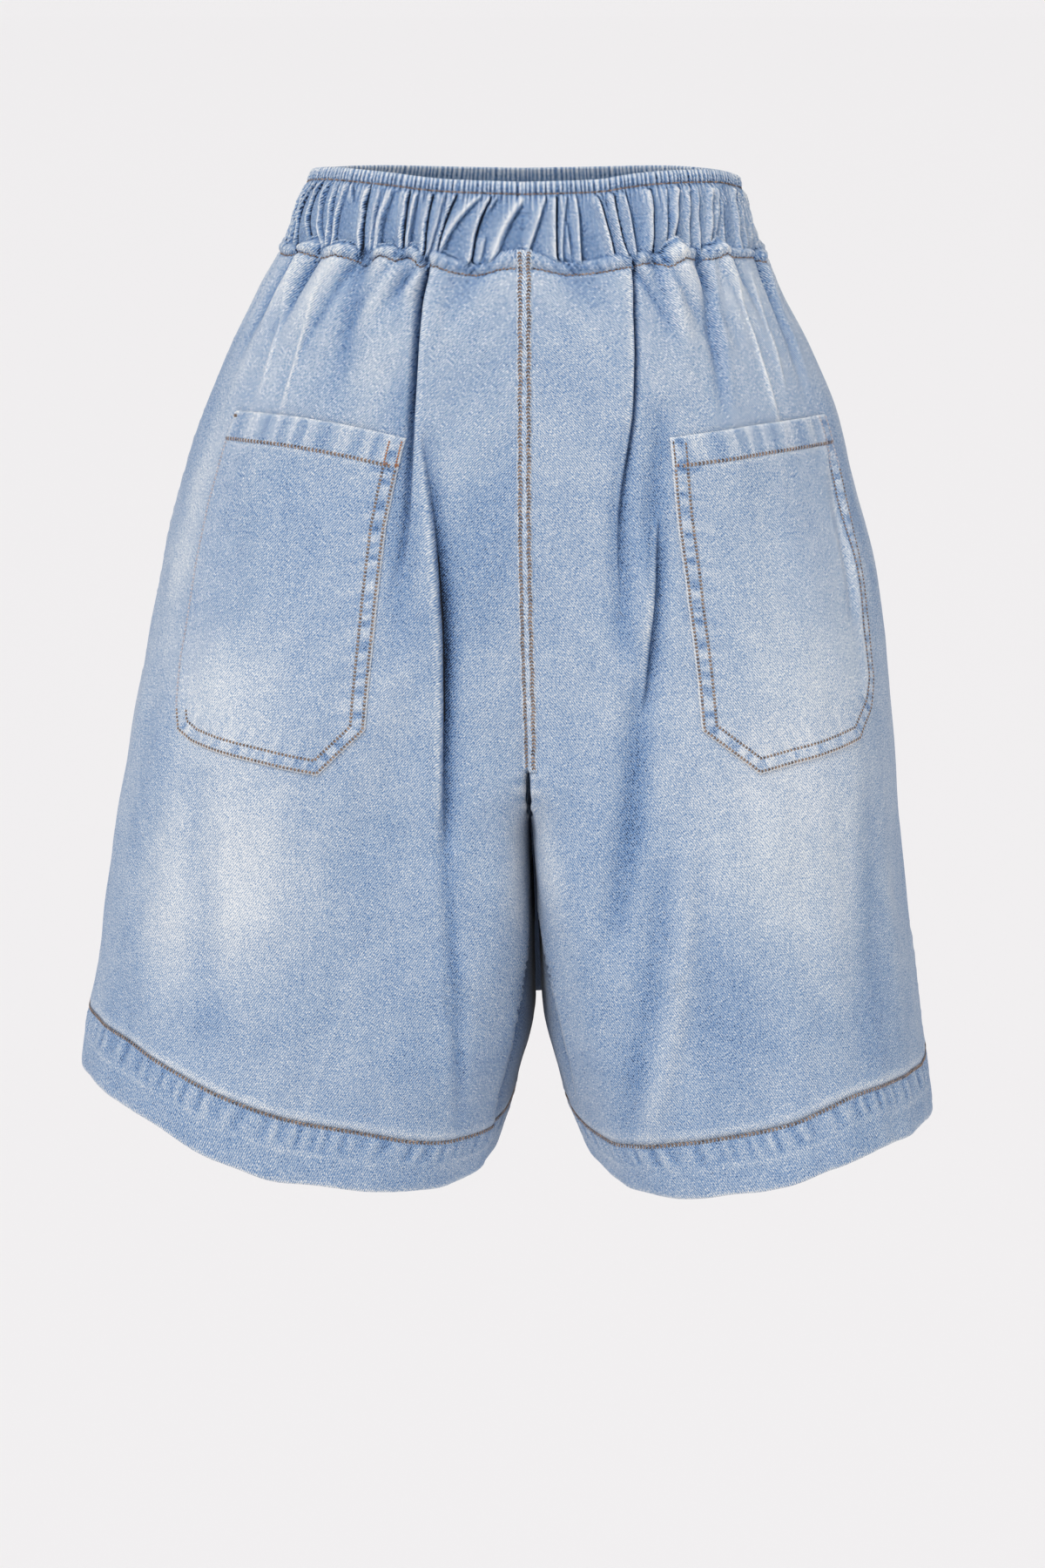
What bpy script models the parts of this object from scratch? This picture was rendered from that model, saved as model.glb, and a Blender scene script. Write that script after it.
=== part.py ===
"""Wide denim shorts with a gathered elastic waistband, as worn, hollow and open at waist and hems.

The origin is the middle of the waistband, where the wearer holds the shorts up. +Z is up, the back
faces +Y and the wearer's left is +X. Every size and table below is in millimetres, and points are
turned to metres as they are placed. A quarter is one of the four leg panels. On a quarter a place is
given by its height z and its cloth distance w, measured level along the cloth from the side seam.
"""

import math
from collections import namedtuple

import bmesh
import bpy
import numpy as np
from mathutils import Vector

MM = 0.001

# Driving heights, measured from the middle of the waistband. The fork is where the back seam ends and
# the crotch curve runs forward, down to the top of the inseams.
BAND_TOP = 19.5
BAND_SEAM = -17.0
FORK = -300.0
CROTCH = -345.0
CROTCH_RUN = 128.0
HEM_DEPTH = 30.0
LEG_MIDDLE = 110.0

# Cloth and seams.
SEAM_GAP = 0.3
SIDE_GAP = 0.36
CLOTH = 1.6
HEM_CLOTH = 2.8
POCKET_CLOTH = 1.3
BAND_CLOTH = 3.6
HEADER_CLOTH = 2.0
MEETING = 1e-6

Quarter = namedtuple("Quarter", "name half face columns rows")
QUARTERS = [
    Quarter("back_left", 1, 1, 28, 24),
    Quarter("back_right", -1, 1, 28, 24),
    Quarter("front_left", 1, -1, 20, 20),
    Quarter("front_right", -1, -1, 20, 20),
]

# Reach of the cloth from the middle, at each height.
Level = namedtuple("Level", "z side_left side_right back_left back_right front_left front_right")
LEVELS = [
    Level(19.5, 119.5, 122.8, 90.0, 90.0, 85.0, 85.0),
    Level(5.5, 125.5, 126.2, 94.5, 94.5, 89.5, 89.5),
    Level(-9.0, 130.5, 130.5, 98.0, 98.0, 93.0, 93.0),
    Level(-20.0, 134.0, 134.5, 100.0, 100.0, 95.5, 95.5),
    Level(-45.0, 149.5, 146.5, 108.5, 108.5, 101.5, 101.5),
    Level(-75.0, 165.7, 163.2, 114.5, 114.5, 105.5, 105.5),
    Level(-110.0, 181.7, 178.5, 119.0, 119.0, 108.0, 108.0),
    Level(-150.0, 195.0, 189.5, 122.5, 122.5, 109.0, 109.0),
    Level(-210.0, 209.5, 205.0, 125.5, 126.5, 109.0, 110.0),
    Level(-290.0, 226.5, 214.7, 126.5, 130.5, 107.0, 110.5),
    Level(-365.0, 239.5, 221.5, 125.5, 134.0, 104.5, 110.5),
    Level(-430.0, 249.5, 230.4, 124.0, 136.5, 102.5, 110.5),
    Level(-495.0, 261.0, 239.8, 122.5, 138.0, 101.0, 110.0),
    Level(-550.0, 265.0, 248.0, 121.5, 138.5, 100.0, 109.5),
]

# Where the inner edge of each half lies, and how each leg rounds away from it: deepest is the share of
# the way out at which the back lies deepest, rise the depth at the seam as a share of that, and corner
# and roundness are the powers of the inner and outer curves.
Inner = namedtuple("Inner", "z left right deepest rise corner roundness")
INNERS = [
    Inner(19.5, 0.0, 0.0, 0.00, 1.000, 6.0, 2.25),
    Inner(-150.0, 0.0, 0.0, 0.00, 1.000, 6.0, 2.30),
    Inner(-210.0, -1.0, -1.0, 0.12, 0.996, 4.2, 2.35),
    Inner(-260.0, -2.5, -2.5, 0.27, 0.985, 4.8, 2.38),
    Inner(-300.0, -3.5, -3.7, 0.38, 0.960, 6.2, 2.38),
    Inner(-345.0, -3.8, -4.4, 0.45, 0.960, 7.2, 2.35),
    Inner(-400.0, -6.0, -8.5, 0.48, 0.960, 4.8, 2.30),
    Inner(-460.0, -7.5, -15.0, 0.50, 0.960, 3.3, 2.25),
    Inner(-500.0, -5.0, -21.5, 0.50, 0.960, 2.9, 2.22),
    Inner(-550.0, 8.0, -37.0, 0.50, 0.960, 2.6, 2.20),
]

# How far the waist's edge stands above its level at the middle, by the share of the way from side seam
# to centre. The rise fades out below the waistband, at RISE_FOOT.
Rise = namedtuple("Rise", "share back_left back_right front_left front_right")
WAIST_RISE = [
    Rise(0.00, 1.6, -1.9, 1.6, -1.9),
    Rise(0.19, 5.3, 2.0, 2.4, 0.5),
    Rise(0.33, 6.3, 5.0, 2.6, 1.6),
    Rise(0.47, 5.4, 5.5, 2.4, 2.2),
    Rise(0.57, 4.3, 5.0, 1.9, 1.9),
    Rise(0.66, 2.6, 3.6, 1.4, 1.4),
    Rise(0.76, 1.3, 1.2, 0.8, 0.8),
    Rise(1.00, 0.0, 0.0, 0.0, 0.0),
]
RISE_HEAD, RISE_FOOT = 30.0, -110.0

# Height of the hem's stitching round each leg, by the share of the way from side seam to inseam.
HemPoint = namedtuple("HemPoint", "share back_left back_right front_left front_right")
HEM_LINE = [
    HemPoint(0.00, -461.0, -491.0, -461.0, -491.0),
    HemPoint(0.12, -462.0, -488.5, -466.0, -493.0),
    HemPoint(0.25, -468.5, -486.5, -474.0, -497.0),
    HemPoint(0.36, -484.0, -491.5, -484.0, -501.0),
    HemPoint(0.48, -502.0, -502.0, -493.0, -505.0),
    HemPoint(0.58, -510.5, -510.5, -499.0, -508.0),
    HemPoint(0.68, -517.0, -515.5, -503.0, -510.0),
    HemPoint(0.80, -515.5, -515.5, -506.0, -511.0),
    HemPoint(1.00, -508.0, -511.0, -508.0, -511.0),
]

# Folds that hang from the waist. A fold runs from (top_w, top_z) to (low_w, low_z), bows sideways by bow
# on the way, and fades towards its lower end. Its trough is half_width wide to each side and depth deep,
# and a soft ridge of lap times the depth lies LAP_PLACE half widths from it, towards the side seam (+)
# or the centre (-). A negative depth is a puff.
Fold = namedtuple("Fold", "quarter top_w top_z low_w low_z bow half_width depth lap")
LAP_PLACE = 1.9
FOLDS = [
    Fold("back_left", 138, -17, 208, -215, 14, 6.0, 5.5, -0.5),
    Fold("back_left", 196, -118, 268, -322, 3, 9.0, 4.0, 0.3),
    Fold("back_left", 99, -17, 103, -62, 0, 5.5, 3.2, 0.4),
    Fold("back_left", 112, -17, 131, -78, 2, 7.0, -3.0, 0.0),
    Fold("back_left", 84, -17, 90, -72, 0, 8.0, -3.2, 0.0),
    Fold("back_left", 58, -17, 62, -70, 0, 7.0, -2.6, 0.0),
    Fold("back_left", 168, -17, 170, -60, 0, 7.0, 2.4, 0.0),
    Fold("back_right", 134, -17, 212, -200, 9, 6.0, 5.5, -0.5),
    Fold("back_right", 160, -100, 234, -325, 6, 9.0, 4.0, -0.3),
    Fold("back_right", 80, -17, 131, -120, 1, 5.0, 3.8, 0.5),
    Fold("back_right", 115, -17, 127, -60, 0, 5.0, 3.0, 0.3),
    Fold("back_right", 73, -17, 84, -66, 0, 7.0, -3.2, 0.0),
    Fold("back_right", 102, -17, 112, -62, 0, 7.0, -3.0, 0.0),
    Fold("back_right", 34, -17, 47, -86, 0, 5.0, 2.8, 0.4),
    Fold("back_right", 167, -17, 172, -58, 0, 8.0, 2.2, 0.0),
    Fold("front_left", 128, -17, 186, -190, 8, 7.0, 4.5, -0.4),
    Fold("front_left", 84, -17, 108, -105, 0, 7.0, 3.4, 0.4),
    Fold("front_left", 46, -17, 54, -80, 0, 6.0, 2.6, 0.0),
    Fold("front_left", 106, -17, 124, -74, 0, 8.0, -3.0, 0.0),
    Fold("front_right", 136, -17, 194, -176, 8, 7.0, 4.5, -0.4),
    Fold("front_right", 92, -17, 122, -120, 0, 7.0, 3.4, 0.4),
    Fold("front_right", 40, -17, 52, -74, 0, 6.0, 2.6, 0.0),
    Fold("front_right", 114, -17, 128, -70, 0, 8.0, -3.0, 0.0),
]

# The seam allowance makes a raised roll under the waistband, down to its stitching.
ROLL_DEPTH = 8.5
ROLL_HEIGHT = 3.2
ROLL_ROWS = (0.0, 2.6, 5.8, 8.5, 13.0, 22.0, 36.0)

# Pinched ridges of the elastic casing: shares of the quarter's width from the side seam, at the
# header's stitching and at the band's seam, and the ridge's height.
Ridge = namedtuple("Ridge", "top low height")
RIDGES = {
    "back_left": [
        Ridge(0.06, 0.05, 1.8), Ridge(0.12, 0.11, 2.0), Ridge(0.18, 0.17, 2.0),
        Ridge(0.23, 0.23, 2.4), Ridge(0.29, 0.29, 2.2), Ridge(0.34, 0.34, 2.6),
        Ridge(0.39, 0.39, 2.0), Ridge(0.43, 0.44, 3.0), Ridge(0.51, 0.51, 3.0),
        Ridge(0.56, 0.56, 2.2), Ridge(0.60, 0.60, 2.4), Ridge(0.64, 0.64, 2.8),
        Ridge(0.68, 0.68, 2.4), Ridge(0.72, 0.72, 2.8), Ridge(0.76, 0.76, 2.2),
        Ridge(0.84, 0.80, 3.2), Ridge(0.90, 0.86, 2.0), Ridge(0.96, 0.93, 2.0),
    ],
    "back_right": [
        Ridge(0.05, 0.06, 1.8), Ridge(0.11, 0.13, 2.0), Ridge(0.16, 0.20, 2.0),
        Ridge(0.21, 0.27, 2.2), Ridge(0.26, 0.33, 2.4), Ridge(0.31, 0.39, 2.2),
        Ridge(0.36, 0.43, 2.8), Ridge(0.42, 0.475, 2.2), Ridge(0.47, 0.52, 2.4),
        Ridge(0.52, 0.57, 3.0), Ridge(0.58, 0.62, 2.6), Ridge(0.65, 0.665, 2.4),
        Ridge(0.70, 0.71, 2.4), Ridge(0.76, 0.755, 2.6), Ridge(0.83, 0.82, 2.4),
        Ridge(0.875, 0.87, 2.4), Ridge(0.92, 0.915, 2.4), Ridge(0.965, 0.97, 1.8),
    ],
    "front_left": [Ridge(0.035 + step * 0.055, 0.04 + step * 0.0545, 2.1 + 0.6 * math.sin(2.3 * step))
                   for step in range(18)],
    "front_right": [Ridge(0.03 + step * 0.0553, 0.035 + step * 0.0548, 2.1 + 0.6 * math.sin(1.9 * step + 1))
                    for step in range(18)],
}
RIDGE_FOOT = 2.3

# One row of the waistband: its height, how far its cloth stands out, and how much of each ridge shows.
BandRow = namedtuple("BandRow", "z out ridge")
BAND_ROWS = [
    BandRow(19.5, 0.2, 0.45),
    BandRow(13.5, -0.6, 0.25),
    BandRow(8.0, 0.2, 0.85),
    BandRow(-2.0, 0.4, 1.00),
    BandRow(-11.0, 0.3, 0.95),
    BandRow(-17.0, -0.6, 0.55),
]

# Corners of the back pockets, as (cloth distance from the side seam, height).
Corner = namedtuple("Corner", "w z")
POCKETS = {
    "pocket_left": ("back_left", [
        Corner(70, -106), Corner(183, -116), Corner(211, -275),
        Corner(191, -301), Corner(110, -288), Corner(89, -264),
    ]),
    "pocket_right": ("back_right", [
        Corner(51, -109), Corner(163, -115), Corner(192, -275),
        Corner(166, -300), Corner(95, -289), Corner(69, -263),
    ]),
}

# A panel's grid is closer where deep folds cross it and where the crotch curve bends it.
FOLD_CROWD, FOLD_REACH, DEEP_FOLD = 1.4, 16.0, 3.3
FORK_CROWD, FORK_REACH, FORK_ABOVE = 1.4, 55.0, 10.0

# The drawstring: a flat turned strip of the same denim, knotted in front, with two hanging ends that
# hang TAIL_CLEAR in front of the cloth where they first leave it, and straight down below that.
TIE_WIDTH = 15.0
TIE_CLOTH = 2.4
KNOT_SIZE = (24.0, 13.0, 17.0)
KNOT_SQUARE = 0.8
KNOT_Z = -1.0
KNOT_CLEAR = 3.0
TAIL_STEPS = 22
TAIL_CLEAR = 4.5
TAIL_HANG = 7.0
TAIL_FORK_Y = -112.0
TAIL_NECK, TAIL_NECK_END = 0.6, -90.0
TAIL_SETTLED = -190.0
Tail = namedtuple("Tail", "name root_x end_x reach end_z turn")
TAILS = [
    Tail("tie_tail_left", 6.5, -8.0, 420.0, -493.0, 12.0),
    Tail("tie_tail_right", -6.5, -44.0, 300.0, -478.0, -16.0),
]

DENIM = ((0.37, 0.45, 0.58), 0.9)
PALE_DENIM = ((0.45, 0.53, 0.65), 0.9)
BAND_DENIM = ((0.31, 0.39, 0.54), 0.9)
TIE_DENIM = ((0.35, 0.42, 0.55), 0.85)


def clear_scene():
    for found in list(bpy.data.objects):
        bpy.data.objects.remove(found, do_unlink=True)


def new_collection(name):
    made = bpy.data.collections.new(name)
    bpy.context.scene.collection.children.link(made)
    return made


def cloth_material(name, colour, roughness):
    made = bpy.data.materials.new(name)
    made.use_nodes = True
    shader = made.node_tree.nodes["Principled BSDF"]
    shader.inputs["Base Color"].default_value = (*colour, 1.0)
    shader.inputs["Roughness"].default_value = roughness
    shader.inputs["Metallic"].default_value = 0.0
    return made


def read(table, column, z, key="z"):
    """One column of a table at places z, on a smooth curve that never overshoots its rows."""
    knots = np.array([getattr(row, key) for row in table])
    values = np.array([getattr(row, column) for row in table])
    if knots[0] > knots[-1]:
        knots, z = -knots, -np.asarray(z, float)
    gap = np.diff(knots)
    slope = np.diff(values) / gap
    tangent = np.zeros_like(values)
    tangent[0], tangent[-1] = slope[0], slope[-1]
    for i in range(1, len(values) - 1):
        if slope[i - 1] * slope[i] > 0:
            near, far = 2 * gap[i] + gap[i - 1], gap[i] + 2 * gap[i - 1]
            tangent[i] = (near + far) / (near / slope[i - 1] + far / slope[i])
    place = np.clip(z, knots[0], knots[-1])
    k = np.clip(np.searchsorted(knots, place, side="right") - 1, 0, len(gap) - 1)
    t = (place - knots[k]) / gap[k]
    rising = 3 * t**2 - 2 * t**3
    bend = t * (1 - t) * gap[k] * ((1 - t) * tangent[k] - t * tangent[k + 1])
    return values[k] * (1 - rising) + values[k + 1] * rising + bend


def smooth_step(value, low, high):
    share = np.clip((value - low) / (high - low), 0, 1)
    return share * share * (3 - 2 * share)


def section(quarter, z, steps=48):
    """The level sections of a quarter at heights z: x, y and the cloth distance from the side seam."""
    z = np.asarray(z, float).reshape(-1, 1)
    half = "left" if quarter.half > 0 else "right"
    where = "back" if quarter.face > 0 else "front"
    side = read(LEVELS, "side_" + half, z)
    depth = read(LEVELS, f"{where}_{half}", z)
    seam = quarter.half * read(INNERS, half, z) + SEAM_GAP / 2
    turn_x = seam + read(INNERS, "deepest", z) * (side - seam)
    roundness, corner = read(INNERS, "roundness", z), read(INNERS, "corner", z)
    under = np.clip((FORK - z) / (FORK - CROTCH), 0, 1)
    rise = read(INNERS, "rise", z) * np.sqrt(1 - under**2)

    turn = np.linspace(0, math.pi / 2, steps).reshape(1, -1)
    start = SIDE_GAP / 2
    outer_x = turn_x + (side - turn_x) * np.cos(turn) ** (2 / roundness)
    outer_y = start + (depth - start) * np.sin(turn) ** (2 / roundness)
    low = np.arcsin(rise ** (corner / 2))
    back = low + (math.pi / 2 - low) * turn[:, -2::-1] / (math.pi / 2)
    reach = np.maximum(np.cos(low), 1e-6)
    inner_x = turn_x - (turn_x - seam) * (np.cos(back) / reach) ** (2 / corner)
    inner_y = start + (depth - start) * np.sin(back) ** (2 / corner)
    x = np.hstack([outer_x, inner_x])
    y = np.hstack([outer_y, inner_y])
    step = np.hypot(np.diff(x, axis=1), np.diff(y, axis=1))
    walked = np.hstack([np.zeros_like(z), np.cumsum(step, axis=1)])
    return quarter.half * x, quarter.face * y, walked


def cloth_width(quarter, z):
    return section(quarter, z)[2][:, -1].reshape(np.shape(z))


def fold_line(fold, z):
    """How far along a fold the heights z are, from 0 at its top to 1 at its end, and its place there."""
    along = (fold.top_z - z) / (fold.top_z - fold.low_z)
    bowed = 4 * fold.bow * along * (1 - along)
    return along, fold.top_w + (fold.low_w - fold.top_w) * along + bowed


def fold_relief(quarter, w, z):
    """How far the folds and the seam roll move the cloth out (+) or in (-)."""
    lift = ROLL_HEIGHT * np.sin(np.pi * np.clip((BAND_SEAM - z) / ROLL_DEPTH, 0, 1)) ** 0.8
    lift = np.where(z > BAND_SEAM - ROLL_DEPTH, lift, 0.0)
    for fold in FOLDS:
        if fold.quarter != quarter.name:
            continue
        along, line = fold_line(fold, z)
        fade = np.where(along < 1, np.cos(np.clip(along, 0, 1) * math.pi / 2), 0.0)
        if fold.top_z < BAND_SEAM:
            fade = np.where(along > 0, np.sin(np.clip(along * 2, 0, 1) * math.pi / 2) * fade, 0.0)
        across = (w - line) / fold.half_width
        trough = -fold.depth * np.exp(-across**2)
        ridge = abs(fold.lap) * fold.depth * np.exp(-((across + LAP_PLACE * np.sign(fold.lap)) ** 2))
        lift = lift + fade * (trough + ridge)
    return lift


def on_cloth(quarter, w, z, out=0.0, relief=True):
    """Points of a quarter's outer face at (w, z), moved out along the level normal and up by the rise."""
    w, z = np.broadcast_arrays(np.asarray(w, float), np.asarray(z, float))
    x, y, walked = section(quarter, z)
    place = np.clip(w.reshape(-1), 0, walked[:, -1])
    k = np.clip((walked <= place[:, None]).sum(axis=1) - 1, 0, walked.shape[1] - 2)
    row = np.arange(len(k))
    length = np.maximum(walked[row, k + 1] - walked[row, k], 1e-9)
    share = (place - walked[row, k]) / length
    before, after = np.maximum(k - 1, 0), np.minimum(k + 2, walked.shape[1] - 1)
    along_x, along_y = x[row, after] - x[row, before], y[row, after] - y[row, before]
    along = np.maximum(np.hypot(along_x, along_y), 1e-9)
    turn = quarter.half * quarter.face
    normal_x, normal_y = turn * along_y / along, -turn * along_x / along
    at_seam, at_centre = place < 1e-6, (place > walked[:, -1] - 1e-6) & (z.reshape(-1) > FORK)
    normal_x = np.where(at_seam, quarter.half, np.where(at_centre, 0, normal_x))
    normal_y = np.where(at_seam, 0, np.where(at_centre, quarter.face, normal_y))
    move = np.zeros_like(place) + out
    if relief:
        move = move + fold_relief(quarter, place, z.reshape(-1))
    point_x = x[row, k] + share * (x[row, k + 1] - x[row, k]) + move * normal_x
    point_y = y[row, k] + share * (y[row, k + 1] - y[row, k]) + move * normal_y
    rise = read(WAIST_RISE, quarter.name, place / walked[:, -1], key="share")
    point_z = z.reshape(-1) + rise * smooth_step(z.reshape(-1), RISE_FOOT, RISE_HEAD)
    return np.stack([point_x, point_y, point_z], axis=1).reshape(*w.shape, 3)


def panel_places(quarter):
    """(w, z) of a panel's grid: its rows follow the rise seam and inseam, its columns the folds."""
    top = BAND_SEAM - SEAM_GAP
    hem = read(HEM_LINE, quarter.name, np.linspace(0, 1, 101), key="share")
    side_run = top - hem[0]
    rise_run = top - FORK
    seam_run = rise_run + CROTCH_RUN + CROTCH - hem[-1]
    fine = np.linspace(ROLL_ROWS[-1], side_run, 301)
    beside_fork = (fine - rise_run + FORK_ABOVE) / FORK_REACH
    crowd = np.cumsum(1 + FORK_CROWD * np.exp(-(beside_fork**2)))
    even = np.linspace(crowd[0], crowd[-1], quarter.rows - len(ROLL_ROWS) + 2)[1:]
    drop = np.concatenate([ROLL_ROWS, np.interp(even, crowd, fine)])
    start = ROLL_ROWS[-1]
    run = np.where(drop < start, drop, start + (drop - start) * (seam_run - start) / (side_run - start))
    turn = np.clip((run - rise_run) / CROTCH_RUN, 0, 1) * math.pi / 2
    seam_z = top - np.minimum(run, rise_run) - (FORK - CROTCH) * np.sin(turn)
    seam_z = seam_z - np.maximum(run - rise_run - CROTCH_RUN, 0)
    side_z = top - drop

    share = np.linspace(0, 1, quarter.columns + 1)
    blend = smooth_step(share, 0.2, 1.0)
    z = side_z[:, None] * (1 - blend) + seam_z[:, None] * blend
    hem_here = np.interp(share, np.linspace(0, 1, 101), hem)
    miss = hem_here - (side_z[-1] * (1 - blend) + seam_z[-1] * blend)
    z = z + miss * ((drop / drop[-1]) ** 3)[:, None]
    w = np.zeros_like(z)
    full = cloth_width(quarter, seam_z)
    outer = np.minimum(full, cloth_width(quarter, FORK) * (1 + 0.2 * np.clip((FORK - seam_z) / 250, 0, 1)))
    for i in range(len(drop)):
        w[i] = crowded(quarter, z[i], outer[i], share) + (full[i] - outer[i]) * share**4
    return w, z


def crowded(quarter, z, full, share):
    """Cloth distances of one row, closer together where a fold crosses it."""
    fine = np.linspace(0, 1, 401)
    z_fine = np.interp(fine, share, z)
    crowd = np.ones_like(fine)
    for fold in FOLDS:
        if fold.quarter == quarter.name and abs(fold.depth) > DEEP_FOLD:
            along, line = fold_line(fold, z_fine)
            near = smooth_step(1.15 - np.abs(along - 0.4), 0.3, 0.6)
            crowd = crowd + FOLD_CROWD * near * np.exp(-(((fine * full - line) / FOLD_REACH) ** 2))
    walked = np.concatenate([[0], np.cumsum((crowd[1:] + crowd[:-1]) / 2)])
    return full * np.interp(share * walked[-1], walked, fine)


def woven_grid(points, close_columns=False, close_rows=False):
    """A bmesh grid bent onto an array of points, rows by columns, with its meeting edges merged."""
    rows, columns = points.shape[0] - 1, points.shape[1] - 1
    bm = bmesh.new()
    bmesh.ops.create_grid(bm, x_segments=columns, y_segments=rows, size=1.0)
    for vert in bm.verts:
        column = round((vert.co.x + 1) / 2 * columns)
        row = round((vert.co.y + 1) / 2 * rows)
        vert.co = Vector(points[row, column]) * MM
    if close_columns or close_rows:
        bmesh.ops.remove_doubles(bm, verts=bm.verts, dist=MEETING)
    return bm


def leg_axis(half, z=0.0):
    return Vector((half * LEG_MIDDLE, 0.0, z)) * MM


def face_out(bm, inside):
    """Turns every face away from the line x = inside.x, y = inside.y."""
    bm.normal_update()
    score = sum((face.calc_center_median() - inside).xy.dot(face.normal.xy) for face in bm.faces)
    if score < 0:
        bmesh.ops.reverse_faces(bm, faces=bm.faces)


def finish(name, bm, material, collection, thickness=None, offset=-1.0):
    mesh = bpy.data.meshes.new(name)
    bm.to_mesh(mesh)
    bm.free()
    mesh.materials.append(material)
    mesh.shade_smooth()
    made = bpy.data.objects.new(name, mesh)
    collection.objects.link(made)
    if thickness:
        wall = made.modifiers.new("cloth", "SOLIDIFY")
        wall.thickness = thickness * MM
        wall.offset = offset
    return made


def build_panels(collection, denim):
    """Front and back panels, each from the band's seam to the hem's stitching."""
    for quarter in QUARTERS:
        w, z = panel_places(quarter)
        bm = woven_grid(on_cloth(quarter, w, z))
        bmesh.ops.triangulate(bm, faces=bm.faces)
        face_out(bm, leg_axis(quarter.half))
        finish(quarter.name, bm, denim, collection, CLOTH)


def build_hems(collection, denim):
    """Each hem is one ring of turned-up cloth, level with the panels above it."""
    for half, name in ((1, "hem_left"), (-1, "hem_right")):
        back, front = [quarter for quarter in QUARTERS if quarter.half == half]
        rings = []
        for drop in (SEAM_GAP, SEAM_GAP + HEM_DEPTH / 2, SEAM_GAP + HEM_DEPTH):
            loop = []
            for quarter in (back, front):
                w, z = panel_places(quarter)
                points = on_cloth(quarter, w[-1], z[-1] - drop)
                points[[0, -1], 1] = 0.0
                loop.append(points if quarter is back else points[::-1][1:])
            rings.append(np.concatenate(loop))
        bm = woven_grid(np.array(rings), close_columns=True)
        face_out(bm, leg_axis(half))
        finish(name, bm, denim, collection, HEM_CLOTH)


def build_pockets(collection, denim):
    """Patch pockets: the panel's own faces, trimmed to the pocket's outline and moved out."""
    for name, (quarter_name, corners) in POCKETS.items():
        panel = bpy.data.objects[quarter_name]
        quarter = next(one for one in QUARTERS if one.name == quarter_name)
        bm = bmesh.new()
        bm.from_mesh(panel.data)
        points = on_cloth(quarter, [c.w for c in corners], [c.z for c in corners]) * MM
        middle = Vector(points.mean(axis=0))
        for start, end in zip(points, np.roll(points, -1, axis=0)):
            start, end = Vector(start), Vector(end)
            outward = ((start + end) / 2 - leg_axis(quarter.half, start.z / MM)).normalized()
            side = (end - start).cross(outward).normalized()
            if side.dot(middle - start) > 0:
                side = -side
            everything = bm.verts[:] + bm.edges[:] + bm.faces[:]
            bmesh.ops.bisect_plane(bm, geom=everything, dist=1e-5, plane_co=start, plane_no=side,
                                   clear_outer=True)
        bm.normal_update()
        for vert in bm.verts:
            vert.co = vert.co + vert.normal * SEAM_GAP * MM
        finish(name, bm, denim, collection, POCKET_CLOTH, 1.0)


def band_columns(quarter):
    """Columns of one quarter of the band: the crest and both feet of each ridge, top and bottom."""
    top, low, height = [], [], []
    wide = cloth_width(quarter, BAND_SEAM)
    foot = RIDGE_FOOT / float(wide)
    for ridge in RIDGES[quarter.name]:
        for side, raised in ((-1, 0.0), (0, ridge.height), (1, 0.0)):
            top.append(ridge.top + side * foot)
            low.append(ridge.low + side * foot)
            height.append(raised)
    return np.array(top), np.array(low), np.array(height)


def build_waistband(collection, denim):
    """The elastic casing and its header: ridged cloth outside, a plain wall inside."""
    loops = []
    header = BAND_ROWS[1].z
    inside = [BandRow(BAND_SEAM, -BAND_CLOTH, 0.0), BandRow(0.0, -BAND_CLOTH, 0.0),
              BandRow(header, -BAND_CLOTH, 0.0), BandRow(BAND_TOP, -HEADER_CLOTH, 0.0)]
    order = [QUARTERS[0], QUARTERS[2], QUARTERS[3], QUARTERS[1]]
    for z, out, raised in BAND_ROWS + inside:
        loop = []
        for quarter in order:
            top, low, height = band_columns(quarter)
            share = low + (top - low) * np.clip((z - BAND_SEAM) / (header - BAND_SEAM), 0, 1)
            place = share * cloth_width(quarter, z)
            points = on_cloth(quarter, place, z, out + height * raised, relief=False)
            loop.append(points[::-1] if quarter.half * quarter.face > 0 else points)
        joined = np.concatenate(loop)
        loops.append(np.vstack([joined, joined[:1]]))
    loops.append(loops[0])
    bm = woven_grid(np.array(loops), close_columns=True, close_rows=True)
    bmesh.ops.recalc_face_normals(bm, faces=bm.faces)
    finish("waistband", bm, denim, collection)


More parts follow.
